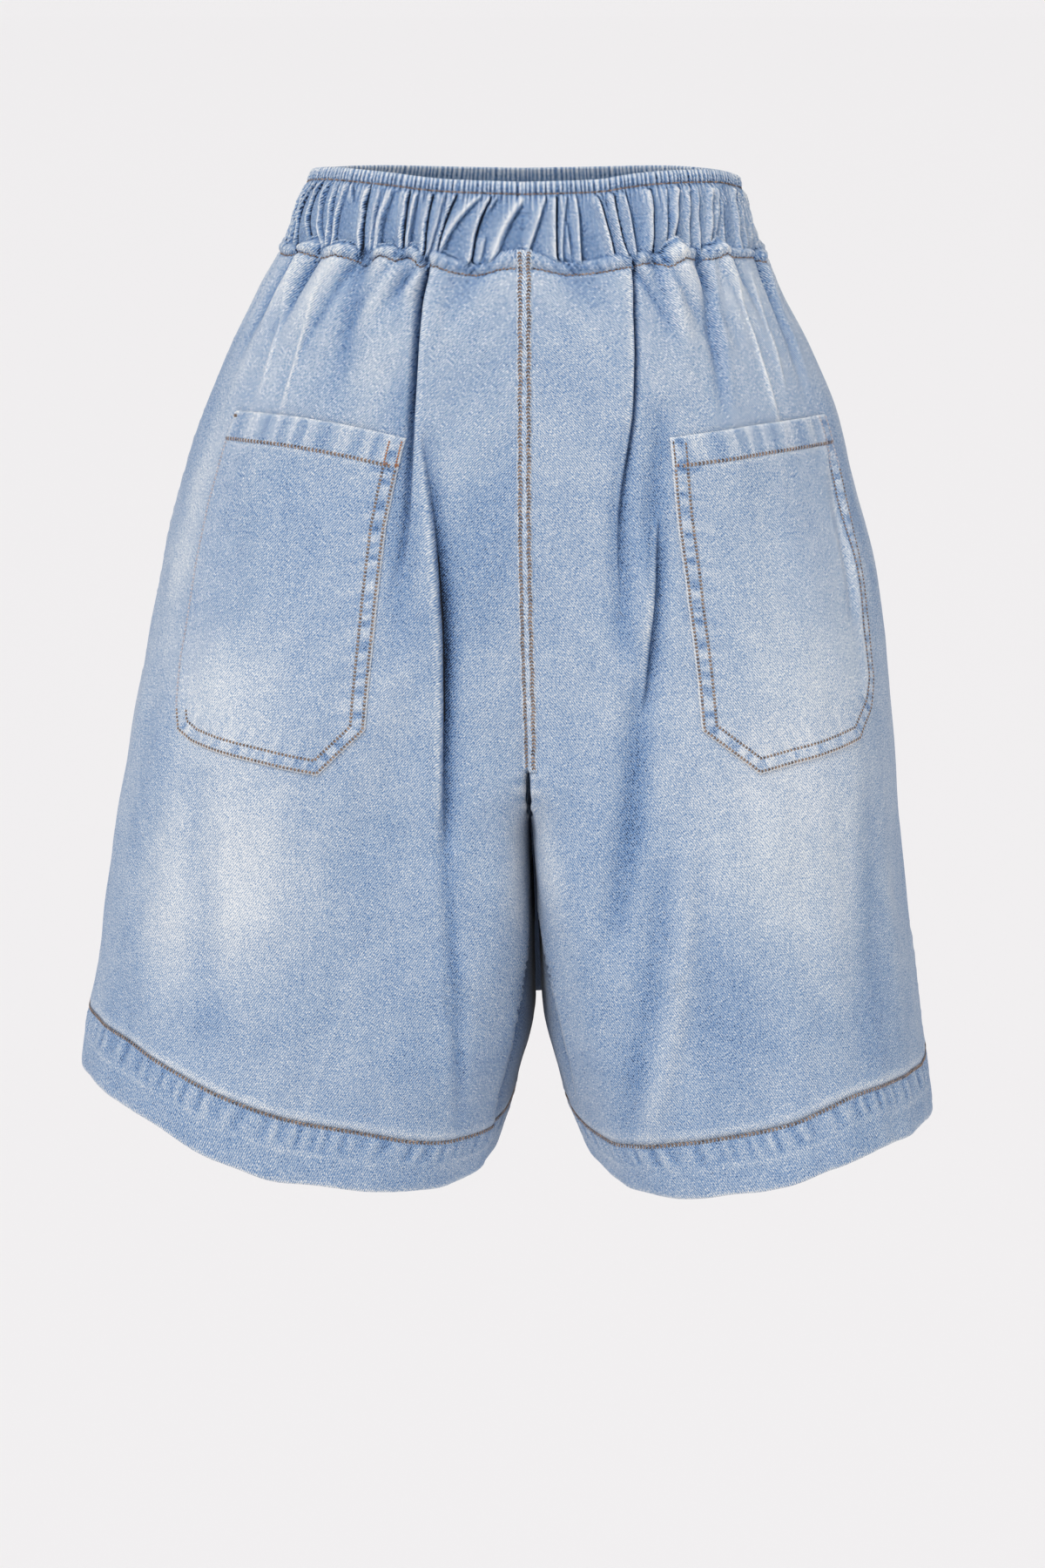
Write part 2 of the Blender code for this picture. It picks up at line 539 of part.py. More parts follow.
def build_tie(collection, denim):
    """The knot in front of the waistband and the two hanging ends of the drawstring."""
    front = QUARTERS[2]
    half_width, half_depth, half_height = (size / 2 for size in KNOT_SIZE)
    knot_y = float(on_cloth(front, cloth_width(front, KNOT_Z), KNOT_Z)[1])
    knot_y = knot_y - half_depth - KNOT_CLEAR
    bm = bmesh.new()
    bmesh.ops.create_uvsphere(bm, u_segments=16, v_segments=10, radius=1.0)
    for vert in bm.verts:
        size = (half_width, half_depth, half_height)
        squarer = [math.copysign(abs(c) ** KNOT_SQUARE, c) for c in vert.co.normalized()]
        vert.co = Vector(a * c for a, c in zip(size, squarer))
        vert.co = (vert.co + Vector((0.0, knot_y, KNOT_Z))) * MM
    finish("tie_knot", bm, denim, collection)
    for tail in TAILS:
        start_z = KNOT_Z - half_height - SEAM_GAP
        heights = start_z + (tail.end_z - start_z) * np.linspace(0, 1, TAIL_STEPS + 1)
        settled = smooth_step(-heights, 0.0, -TAIL_SETTLED)
        x = tail.root_x + (tail.end_x - tail.root_x) * smooth_step(-heights, 0.0, tail.reach)
        front_y = np.array([float(on_cloth(front, cloth_width(front, z), z)[1]) if z > FORK
                            else TAIL_FORK_Y for z in heights])
        hang_y = np.minimum.accumulate(front_y) - TAIL_HANG
        y = knot_y + (hang_y - knot_y) * settled
        y = np.minimum(y, front_y - TAIL_CLEAR)
        turn = math.radians(tail.turn) * settled
        wide = smooth_step(-heights, 0.0, -TAIL_NECK_END)
        reach = TIE_WIDTH / 2 * (TAIL_NECK + (1 - TAIL_NECK) * wide)
        across = np.stack([np.cos(turn), np.sin(turn), 0 * turn], axis=1) * reach[:, None]
        middle = np.stack([x, y, heights], axis=1)
        bm = woven_grid(np.stack([middle - across, middle, middle + across], axis=1))
        finish(tail.name, bm, denim, collection, TIE_CLOTH, 0.0)


def main():
    clear_scene()
    shorts = new_collection("denim_shorts")
    build_panels(shorts, cloth_material("washed denim", *DENIM))
    build_hems(shorts, cloth_material("hem denim", *PALE_DENIM))
    build_pockets(shorts, cloth_material("pocket denim", *PALE_DENIM))
    build_waistband(shorts, cloth_material("gathered denim", *BAND_DENIM))
    build_tie(shorts, cloth_material("tie denim", *TIE_DENIM))


main()
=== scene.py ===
# %% [markdown]
# # Wide denim shorts
#
# These shorts are sewn from light washed denim: four leg panels, two patch pockets, turned-up hems, an
# elastic waistband pinched into ridges, and a flat drawstring. The frame holds the plain solids of
# these pieces. Each lesson below makes one of them again as thin, creased, stitched cloth, lying in
# the space of the solid that it replaces.

# %% The frame
import math
from collections import namedtuple

import bmesh
import bpy
import numpy as np
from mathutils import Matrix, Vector


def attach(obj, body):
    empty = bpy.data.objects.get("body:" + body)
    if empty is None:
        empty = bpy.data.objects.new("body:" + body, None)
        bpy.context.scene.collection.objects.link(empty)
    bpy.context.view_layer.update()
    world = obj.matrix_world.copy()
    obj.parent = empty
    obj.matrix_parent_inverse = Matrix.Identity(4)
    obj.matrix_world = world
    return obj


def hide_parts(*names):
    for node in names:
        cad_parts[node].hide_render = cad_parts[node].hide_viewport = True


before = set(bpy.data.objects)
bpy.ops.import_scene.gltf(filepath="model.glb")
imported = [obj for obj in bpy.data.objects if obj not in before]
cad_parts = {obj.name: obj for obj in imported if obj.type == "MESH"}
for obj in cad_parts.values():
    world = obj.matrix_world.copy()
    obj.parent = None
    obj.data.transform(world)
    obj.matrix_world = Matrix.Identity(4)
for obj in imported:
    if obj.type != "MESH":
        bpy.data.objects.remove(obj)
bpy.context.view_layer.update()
MM = 0.001
print("nodes:", ", ".join(sorted(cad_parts)))

# %% [markdown]
# ## Camera
#
# The back of the shorts faces +Y, so the camera stands two metres behind them, a little above the
# waist, and looks down by 12.5 degrees. An 80 mm lens on a 36 mm sensor takes in the whole garment.

# %% Camera
CAMERA_PLACE = (0.0, 2.0, 0.110)
CAMERA_TILT = 12.5
LENS, FARTHEST = 80.0, 5000.0

camera_data = bpy.data.cameras.new("back_view")
camera_data.lens = LENS
camera_data.clip_end = FARTHEST
camera = bpy.data.objects.new("back_view", camera_data)
camera.location = CAMERA_PLACE
camera.rotation_euler = (math.radians(90 - CAMERA_TILT), 0.0, math.radians(180))
bpy.context.scene.collection.objects.link(camera)
bpy.context.scene.camera = camera
print("camera at", CAMERA_PLACE, "tilted down", CAMERA_TILT, "degrees")

# %% [markdown]
# ## Colours and nodes
#
# Colours are written as the hex values that a paint chart gives, in sRGB, and Blender's shaders want
# linear light, so one function turns one into the other. Another small function adds a node with its
# settings and links, which keeps every material below short enough to read.

# %% Colour and node helpers
def hex_colour(text):
    """Linear red, green, blue and alpha of an sRGB hex value such as #8fa6c4."""
    shares = [int(text[i:i + 2], 16) / 255 for i in (1, 3, 5)]
    return [s / 12.92 if s <= 0.04045 else ((s + 0.055) / 1.055) ** 2.4 for s in shares] + [1.0]


def add(tree, kind, settings=None, **links):
    """Adds a node, sets its properties, and links or sets the inputs named in links."""
    made = tree.nodes.new(kind)
    for name, value in (settings or {}).items():
        setattr(made, name, value)
    for name, value in links.items():
        place = int(name[1:]) if name[0] == "i" and name[1:].isdigit() else name.replace("_", " ")
        socket = made.inputs[place]
        if isinstance(value, bpy.types.NodeSocket):
            tree.links.new(value, socket)
        else:
            socket.default_value = value
    return made


def new_material(name):
    """An empty material with its Principled shader, and the tree that they stand in."""
    made = bpy.data.materials.new(name)
    made.use_nodes = True
    return made, made.node_tree, made.node_tree.nodes["Principled BSDF"]


print("a mid blue in linear light:", [round(share, 3) for share in hex_colour("#6083ae")[:3]])

# %% [markdown]
# ## Room
#
# A studio shot needs little: a pale floor far below the hems that runs to the horizon and lifts a
# little there, a pale sky of light all round, and two soft suns. Suns light the floor evenly however
# far it runs, and it lies so low that the shadow of the shorts falls out of view.

# %% Floor and light values
def table(columns, rows):
    """Rows of values whose columns have names."""
    row = namedtuple("Row", columns)
    return [row(*values) for values in rows]


FLOOR_Z, FLOOR_SIDES, FLOOR_PAINT = -2.0, 64, "#f4f2f3"
FLOOR_RADIUS, RIM_RADIUS, RIM_HEIGHT = 1500.0, 2400.0, 14.0
SKY = ("#ffffff", 0.50)
SUNS = table("name strength spread high round", [
    ("key_sun", 1.75, 26.0, 48.0, -34.0),
    ("fill_sun", 0.50, 60.0, 25.0, 50.0),
])
print("floor at", FLOOR_Z, "under", len(SUNS), "suns")

# %% Sky and floor
bpy.context.scene.view_settings.view_transform = "Standard"
room = bpy.data.worlds.new("pale_room")
room.use_nodes = True
sky = room.node_tree.nodes["Background"]
sky.inputs["Color"].default_value = hex_colour(SKY[0])
sky.inputs["Strength"].default_value = SKY[1]
bpy.context.scene.world = room

floor_mesh = bmesh.new()
bmesh.ops.create_circle(floor_mesh, cap_ends=True, segments=FLOOR_SIDES, radius=FLOOR_RADIUS)
bmesh.ops.translate(floor_mesh, verts=floor_mesh.verts, vec=(0, 0, FLOOR_Z))
edges = [edge for edge in floor_mesh.edges if edge.is_boundary]
rim = bmesh.ops.extrude_edge_only(floor_mesh, edges=edges)["geom"]
rim = [part for part in rim if isinstance(part, bmesh.types.BMVert)]
spread = RIM_RADIUS / FLOOR_RADIUS
bmesh.ops.scale(floor_mesh, verts=rim, vec=(spread, spread, 1))
bmesh.ops.translate(floor_mesh, verts=rim, vec=(0, 0, RIM_HEIGHT))
floor_data = bpy.data.meshes.new("floor")
floor_mesh.to_mesh(floor_data)
floor_mesh.free()
floor = bpy.data.objects.new("floor", floor_data)
bpy.context.scene.collection.objects.link(floor)
paint, _, paint_shader = new_material("matt floor paint")
paint_shader.inputs["Base Color"].default_value = hex_colour(FLOOR_PAINT)
paint_shader.inputs["Roughness"].default_value = 0.9
floor_data.materials.append(paint)
print("floor", round(2 * RIM_RADIUS), "m across, under an even sky")

# %% Suns
for sun in SUNS:
    light = bpy.data.lights.new(sun.name, "SUN")
    light.energy = sun.strength
    light.angle = math.radians(sun.spread)
    lamp = bpy.data.objects.new(sun.name, light)
    lamp.rotation_euler = (math.radians(90 - sun.high), 0.0, math.radians(180 + sun.round))
    bpy.context.scene.collection.objects.link(lamp)
print("suns:", ", ".join(sun.name for sun in SUNS))

# %% [markdown]
# ## The shape that the shorts hang in
#
# Worn cloth follows a general figure, so its shape is best given by level sections. Each leg has a
# back and a front quarter, and a place on a quarter is its height z and the distance w along the
# cloth from the side seam, in millimetres. The tables hold the reach of the cloth at a few heights,
# and smooth curves join their rows.

# %% Driving sizes
BAND_TOP, BAND_SEAM = 19.5, -17.0
FORK, CROTCH, CROTCH_RUN = -300.0, -345.0, 128.0
HEM_DEPTH = 30.0
SEAM_GAP, SIDE_GAP = 0.3, 0.36
LEG_MIDDLE = 110.0

Quarter = namedtuple("Quarter", "name half face columns rows")
QUARTERS = [
    Quarter("back_left", 1, 1, 208, 174),
    Quarter("back_right", -1, 1, 208, 174),
    Quarter("front_left", 1, -1, 96, 110),
    Quarter("front_right", -1, -1, 96, 110),
]
BACK_LEFT, BACK_RIGHT, FRONT_LEFT, FRONT_RIGHT = QUARTERS
print("quarters:", ", ".join(quarter.name for quarter in QUARTERS))

# %% Reach of the cloth
# How far out the side seam and the deepest cloth of each quarter stand.
LEVELS = table("z side_left side_right back_left back_right front_left front_right", [
    (19.5, 119.5, 122.8, 90.0, 90.0, 85.0, 85.0),
    (5.5, 125.5, 126.2, 94.5, 94.5, 89.5, 89.5),
    (-9.0, 130.5, 130.5, 98.0, 98.0, 93.0, 93.0),
    (-20.0, 134.0, 134.5, 100.0, 100.0, 95.5, 95.5),
    (-45.0, 149.5, 146.5, 108.5, 108.5, 101.5, 101.5),
    (-75.0, 165.7, 163.2, 114.5, 114.5, 105.5, 105.5),
    (-110.0, 181.7, 178.5, 119.0, 119.0, 108.0, 108.0),
    (-150.0, 195.0, 189.5, 122.5, 122.5, 109.0, 109.0),
    (-210.0, 209.5, 205.0, 125.5, 126.5, 109.0, 110.0),
    (-290.0, 226.5, 214.7, 126.5, 130.5, 107.0, 110.5),
    (-365.0, 239.5, 221.5, 125.5, 134.0, 104.5, 110.5),
    (-430.0, 249.5, 230.4, 124.0, 136.5, 102.5, 110.5),
    (-495.0, 261.0, 239.8, 122.5, 138.0, 101.0, 110.0),
    (-550.0, 265.0, 248.0, 121.5, 138.5, 100.0, 109.5),
])
print(len(LEVELS), "levels")

# %% Inner edges
# Where each half's inner edge lies, and how the leg rounds away from it.
INNERS = table("z left right deepest rise corner roundness", [
    (19.5, 0.0, 0.0, 0.00, 1.000, 6.0, 2.25),
    (-150.0, 0.0, 0.0, 0.00, 1.000, 6.0, 2.30),
    (-210.0, -1.0, -1.0, 0.12, 0.996, 4.2, 2.35),
    (-260.0, -2.5, -2.5, 0.27, 0.985, 4.8, 2.38),
    (-300.0, -3.5, -3.7, 0.38, 0.960, 6.2, 2.38),
    (-345.0, -3.8, -5.8, 0.45, 0.960, 7.4, 2.35),
    (-400.0, -6.0, -9.2, 0.48, 0.960, 6.4, 2.30),
    (-455.0, -7.0, -12.4, 0.50, 0.960, 4.3, 2.25),
    (-500.0, 1.5, -22.5, 0.50, 0.960, 3.2, 2.22),
    (-550.0, 15.0, -40.0, 0.50, 0.960, 2.6, 2.20),
])
print(len(INNERS), "levels of the inner edges")

# %% Edge of the waist
# How far the waist's edge stands above its level, by the share of the way from side seam to centre.
WAIST_RISE = table("share back_left back_right front_left front_right", [
    (0.00, 1.6, -1.9, 1.6, -1.9),
    (0.19, 5.3, 2.0, 2.4, 0.5),
    (0.33, 6.3, 5.0, 2.6, 1.6),
    (0.47, 5.4, 5.5, 2.4, 2.2),
    (0.57, 4.3, 5.0, 1.9, 1.9),
    (0.66, 2.6, 3.6, 1.4, 1.4),
    (0.76, 1.3, 1.2, 0.8, 0.8),
    (1.00, 0.0, 0.0, 0.0, 0.0),
])
RISE_HEAD, RISE_FOOT = 30.0, -110.0
print("waist charted at", len(WAIST_RISE), "places")

# %% Line of the hems
# Height of the hem's stitching, by the share of the way from side seam to inseam, and how far below
# it the folded edge lies.
HEM_LINE = table("share back_left back_right front_left front_right deep_left deep_right", [
    (0.00, -460.0, -491.0, -460.0, -491.0, 35.0, 34.0),
    (0.12, -460.3, -488.7, -465.0, -493.0, 36.0, 34.0),
    (0.24, -464.0, -485.4, -473.0, -496.7, 38.0, 34.5),
    (0.34, -474.0, -485.0, -482.0, -500.3, 37.0, 35.5),
    (0.40, -481.5, -486.4, -486.5, -502.4, 38.0, 36.0),
    (0.45, -488.0, -491.6, -490.5, -504.0, 39.0, 35.0),
    (0.51, -496.0, -498.8, -495.0, -506.0, 38.5, 34.5),
    (0.57, -502.8, -503.8, -498.5, -507.8, 36.5, 34.0),
    (0.63, -507.3, -507.6, -501.0, -509.0, 35.5, 34.0),
    (0.67, -511.0, -510.2, -502.7, -509.8, 34.0, 33.5),
    (0.72, -516.2, -514.3, -504.0, -510.4, 32.0, 31.5),
    (0.78, -519.6, -518.6, -505.6, -511.0, 29.5, 29.0),
    (0.84, -519.4, -517.6, -506.5, -511.0, 29.0, 28.5),
    (0.90, -515.0, -513.6, -507.2, -511.0, 29.0, 29.0),
    (1.00, -508.0, -511.0, -508.0, -511.0, 30.0, 30.0),
])
print("hems charted at", len(HEM_LINE), "places")


# %% Reading the tables
def numbers(rows, column):
    """One column of a table as an array."""
    return np.array([getattr(row, column) for row in rows])


def read(rows, column, z, key="z"):
    """One column of a table at places z, on a smooth curve that never overshoots its rows."""
    knots, values = numbers(rows, key), numbers(rows, column)
    if knots[0] > knots[-1]:
        knots, z = -knots, -np.asarray(z, float)
    gap = np.diff(knots)
    slope = np.diff(values) / gap
    tangent = np.zeros_like(values)
    tangent[0], tangent[-1] = slope[0], slope[-1]
    for i in range(1, len(values) - 1):
        if slope[i - 1] * slope[i] > 0:
            near, far = 2 * gap[i] + gap[i - 1], gap[i] + 2 * gap[i - 1]
            tangent[i] = (near + far) / (near / slope[i - 1] + far / slope[i])
    place = np.clip(z, knots[0], knots[-1])
    k = np.clip(np.searchsorted(knots, place, side="right") - 1, 0, len(gap) - 1)
    t = (place - knots[k]) / gap[k]
    rising = 3 * t**2 - 2 * t**3
    bend = t * (1 - t) * gap[k] * ((1 - t) * tangent[k] - t * tangent[k + 1])
    return values[k] * (1 - rising) + values[k + 1] * rising + bend


print("left side seam at the fork:", round(float(read(LEVELS, "side_left", FORK)), 1))

# %% Steps, bumps and hills
TURN = 2 * math.pi
HILLS, HILL_SIZES, HILL_PHASES, HILL_SCALE = 11, (0.7, 1.5), (0, 6.28), 1.4


def smooth_step(value, low, high):
    """A share that eases from 0 at low to 1 at high."""
    share = np.clip((value - low) / (high - low), 0, 1)
    return share * share * (3 - 2 * share)


def bell(value, middle, half_width):
    """A soft bump, 1 at its middle and near 0 two half widths away."""
    return np.exp(-(((value - middle) / half_width) ** 2))


def ripple(u, v, wave, seed, stretch=1.0):
    """Soft random hills about wave millimetres across, from -1 to 1, stretched along v."""
    dice = np.random.default_rng(seed)
    total = 0.0
    for _ in range(HILLS):
        angle, size = dice.uniform(0, math.pi), dice.uniform(*HILL_SIZES)
        phase = dice.uniform(*HILL_PHASES)
        along = u * math.cos(angle) + v * math.sin(angle) / stretch
        total = total + np.sin(TURN * along / (wave * size) + phase)
    return total / HILLS**0.5 / HILL_SCALE


print("a quarter of the way along a step:", smooth_step(0.25, 0, 1))

# %% [markdown]
# A section is a rounded outer curve from the side seam to the deepest point of the seat, and a curve
# with a tighter corner from there to the inner edge. Sections are worked out once, a millimetre
# apart, and any other place is read between them, which makes the fine grids below quick.

# %% Sections of the cloth
SECTION_STEPS, QUARTER_TURN, NARROWEST = 96, math.pi / 2, 1e-6


def section(quarter, z):
    """The level sections of a quarter at heights z: x, y and the distance from the side seam."""
    z = np.asarray(z, float).reshape(-1, 1)
    half = "left" if quarter.half > 0 else "right"
    where = "back" if quarter.face > 0 else "front"
    side = read(LEVELS, "side_" + half, z)
    depth = read(LEVELS, f"{where}_{half}", z)
    seam = quarter.half * read(INNERS, half, z) + SEAM_GAP / 2
    turn_x = seam + read(INNERS, "deepest", z) * (side - seam)
    roundness, corner = read(INNERS, "roundness", z), read(INNERS, "corner", z)
    under = np.clip((FORK - z) / (FORK - CROTCH), 0, 1)
    rise = read(INNERS, "rise", z) * np.sqrt(1 - under**2)
    turn = np.linspace(0, QUARTER_TURN, SECTION_STEPS).reshape(1, -1)
    start = SIDE_GAP / 2
    outer_x = turn_x + (side - turn_x) * np.cos(turn) ** (2 / roundness)
    outer_y = start + (depth - start) * np.sin(turn) ** (2 / roundness)
    low = np.arcsin(rise ** (corner / 2))
    back = low + (QUARTER_TURN - low) * turn[:, -2::-1] / QUARTER_TURN
    reach = np.maximum(np.cos(low), NARROWEST)
    inner_x = turn_x - (turn_x - seam) * (np.cos(back) / reach) ** (2 / corner)
    inner_y = start + (depth - start) * np.sin(back) ** (2 / corner)
    x, y = np.hstack([outer_x, inner_x]), np.hstack([outer_y, inner_y])
    step = np.hypot(np.diff(x, axis=1), np.diff(y, axis=1))
    walked = np.hstack([np.zeros_like(z), np.cumsum(step, axis=1)])
    return quarter.half * x, quarter.face * y, walked


print("a section has", 2 * SECTION_STEPS - 1, "points")

# %% Charts of the quarters
CHART_TOP, CHART_FOOT, CHART_SHARES = 30.0, -560.0, 481
NO_LENGTH = 1e-9


def chart(quarter):
    """Widths, places and outward directions of a quarter, on even heights and even shares."""
    heights = np.arange(CHART_TOP, CHART_FOOT - 1, -1.0)
    x, y, walked = section(quarter, heights)
    full = walked[:, -1]
    share = np.linspace(0, 1, CHART_SHARES)
    even_x = np.array([np.interp(share * f, walked[i], x[i]) for i, f in enumerate(full)])
    even_y = np.array([np.interp(share * f, walked[i], y[i]) for i, f in enumerate(full)])
    along = np.stack([np.gradient(even_x, axis=1), np.gradient(even_y, axis=1)])
    along = along / np.maximum(np.hypot(*along), NO_LENGTH)
    along[:, :, 0] = [[0.0], [quarter.face]]
    above_fork = heights > FORK
    along[:, above_fork, -1] = [[-quarter.half], [0.0]]
    return full, np.stack([even_x, even_y, along[0], along[1]])


CHARTS = {quarter.name: chart(quarter) for quarter in QUARTERS}


def cloth_width(quarter, z):
    """How wide a quarter's cloth is at heights z, from side seam to inner edge."""
    full = CHARTS[quarter.name][0]
    return np.interp(CHART_TOP - np.asarray(z, float), np.arange(len(full)), full)


for quarter in QUARTERS:
    print(quarter.name, "is", round(float(cloth_width(quarter, -200))), "mm wide at the seat")


# %% Laying cloth on the shape
JUST_INSIDE = 1.001


def waist_rise(quarter, w, z):
    """How far a place stands above its level, from the uneven edge of the waist."""
    share = np.clip(w / cloth_width(quarter, z), 0, 1)
    rise = read(WAIST_RISE, quarter.name, share, key="share")
    return rise * smooth_step(z, RISE_FOOT, RISE_HEAD)


def lay(quarter, w, z, out=0.0, side=0.0):
    """Points of the cloth at (w, z), moved out of it and sideways along it, and their directions."""
    w, z = np.broadcast_arrays(np.asarray(w, float), np.asarray(z, float))
    full, places = CHARTS[quarter.name]
    row = np.clip(CHART_TOP - z, 0, places.shape[1] - JUST_INSIDE)
    i = row.astype(int)

    def at_row(k):
        column = np.clip(w / full[k], 0, 1) * (CHART_SHARES - JUST_INSIDE)
        j = column.astype(int)
        return places[:, k, j] * (1 - (column - j)) + places[:, k, j + 1] * (column - j)

    x, y, along_x, along_y = at_row(i) * (1 - (row - i)) + at_row(i + 1) * (row - i)
    length = np.maximum(np.hypot(along_x, along_y), NO_LENGTH)
    along_x, along_y = along_x / length, along_y / length
    turn = quarter.half * quarter.face
    out_x, out_y = turn * along_y, -turn * along_x
    height = z + waist_rise(quarter, w, z)
    point = np.stack([x + out * out_x + side * along_x, y + out * out_y + side * along_y, height], -1)
    outward = np.stack([out_x, out_y, 0 * out_x], -1)
    return point, outward


print("middle of the seat:", [round(float(x), 1) for x in lay(BACK_LEFT, 200.0, -200.0)[0]])

# %% [markdown]
# ## Where the washing left its marks, with painted light and shade
#
# Washed denim is never one blue. Thighs and pocket bottoms are rubbed pale, crests and edges are
# whiter than the hollows beside them, and creases keep the deep colour. Three numbers at each point
# carry this to the material: fade for the large pale areas, wear for crests and edges, and a third for
# creases and hollows. They also carry painted light: a few spots of the fade table are painted shade
# and painted highlight, wear holds painted highlights on the lit slopes of the waistband's ridges and
# on the lips of tucked folds, and the third holds painted shade in the gaps beside ridges, behind
# overlapping lips and above the roll. A fourth, shadow, is painted shade that greys the cloth lying
# between the legs.

# %% Fades, with spots of painted shade and light
def tables(columns, by_quarter):
    """A table for each quarter, empty where none is given."""
    return {quarter.name: table(columns, by_quarter.get(quarter.name, [])) for quarter in QUARTERS}


def count(by_quarter):
    """How many rows the tables of all quarters have."""
    return sum(len(rows) for rows in by_quarter.values())


# Most spots are wash: pale rubbed areas and darker kept dye. The dark spots at the inner edge of each leg
# and beside the deepest fold of the left seat are painted shade, and the two small pale spots beside the
# slit are painted highlights that lift the shading there.
FADES_AND_PAINTED_LIGHT = tables("w z wide tall strength", {
    "back_left": [
        (138, -366, 54, 66, 0.9), (84, -360, 20, 90, -0.28), (120, -258, 40, 32, 0.5),
        (130, -175, 55, 50, -0.22), (58, -165, 12, 75, 0.34), (28, -120, 18, 60, -0.3),
        (243, -185, 22, 75, -0.34), (322, -355, 13, 42, 0.6), (386, -455, 46, 66, -0.8),
    ],
    "back_right": [
        (148, -338, 62, 74, 0.6), (118, -245, 44, 38, 0.36), (208, -432, 25, 62, -0.26),
        (40, -165, 10, 60, -0.45), (296, -352, 11, 40, 0.4), (374, -412, 52, 72, -0.8),
    ],
    "front_left": [(120, -300, 55, 120, 0.6)],
    "front_right": [(120, -310, 55, 115, 0.6)],
})

# The inner sides of the legs, which lie in each other's shade and look slate grey.
SHADES = tables("w z wide tall strength", {
    "back_left": [(390, -462, 54, 76, 1)],
    "back_right": [(376, -408, 50, 66, 0.9)],
})
print(count(FADES_AND_PAINTED_LIGHT), "faded areas,", count(SHADES), "in the shade")

# %% Wash
SPOT_EDGE = 1.3
LOW_DARKENING, LOW_FROM, LOW_TO = 0.15, 200.0, 420.0


def spots(by_quarter, quarter, w, z):
    """The sum of a quarter's soft spots at (w, z)."""
    total = 0.0 * (w + z)
    for spot in by_quarter[quarter.name]:
        away = ((w - spot.w) / spot.wide) ** 2 + ((z - spot.z) / spot.tall) ** 2
        total = total + spot.strength * np.exp(-(away**SPOT_EDGE))
    return total


def wash(quarter, w, z):
    """How pale the cloth is at (w, z): the large washed areas with their spots of painted shade and
    highlight, and a little darker towards the hems.
    """
    return spots(FADES_AND_PAINTED_LIGHT, quarter, w, z) - LOW_DARKENING * smooth_step(-z, LOW_FROM, LOW_TO)


print("wash at the thigh:", round(float(wash(BACK_LEFT, 138.0, -366.0)), 2))

# %% [markdown]
# ## Folds
#
# The gathered waist throws folds down the panels. A fold is a line on the cloth with a trough along
# it and, by its lap, a soft ridge on one side; a negative depth makes it a crest. Where a row has a
# tuck, the cloth of the ridge laps over the trough, so its lip is also moved sideways. The trough
# behind the lip is darkened with painted shadow, and the lip's edge is paled by wear and a painted
# highlight. The small rows are creases and puffs below the gathers.

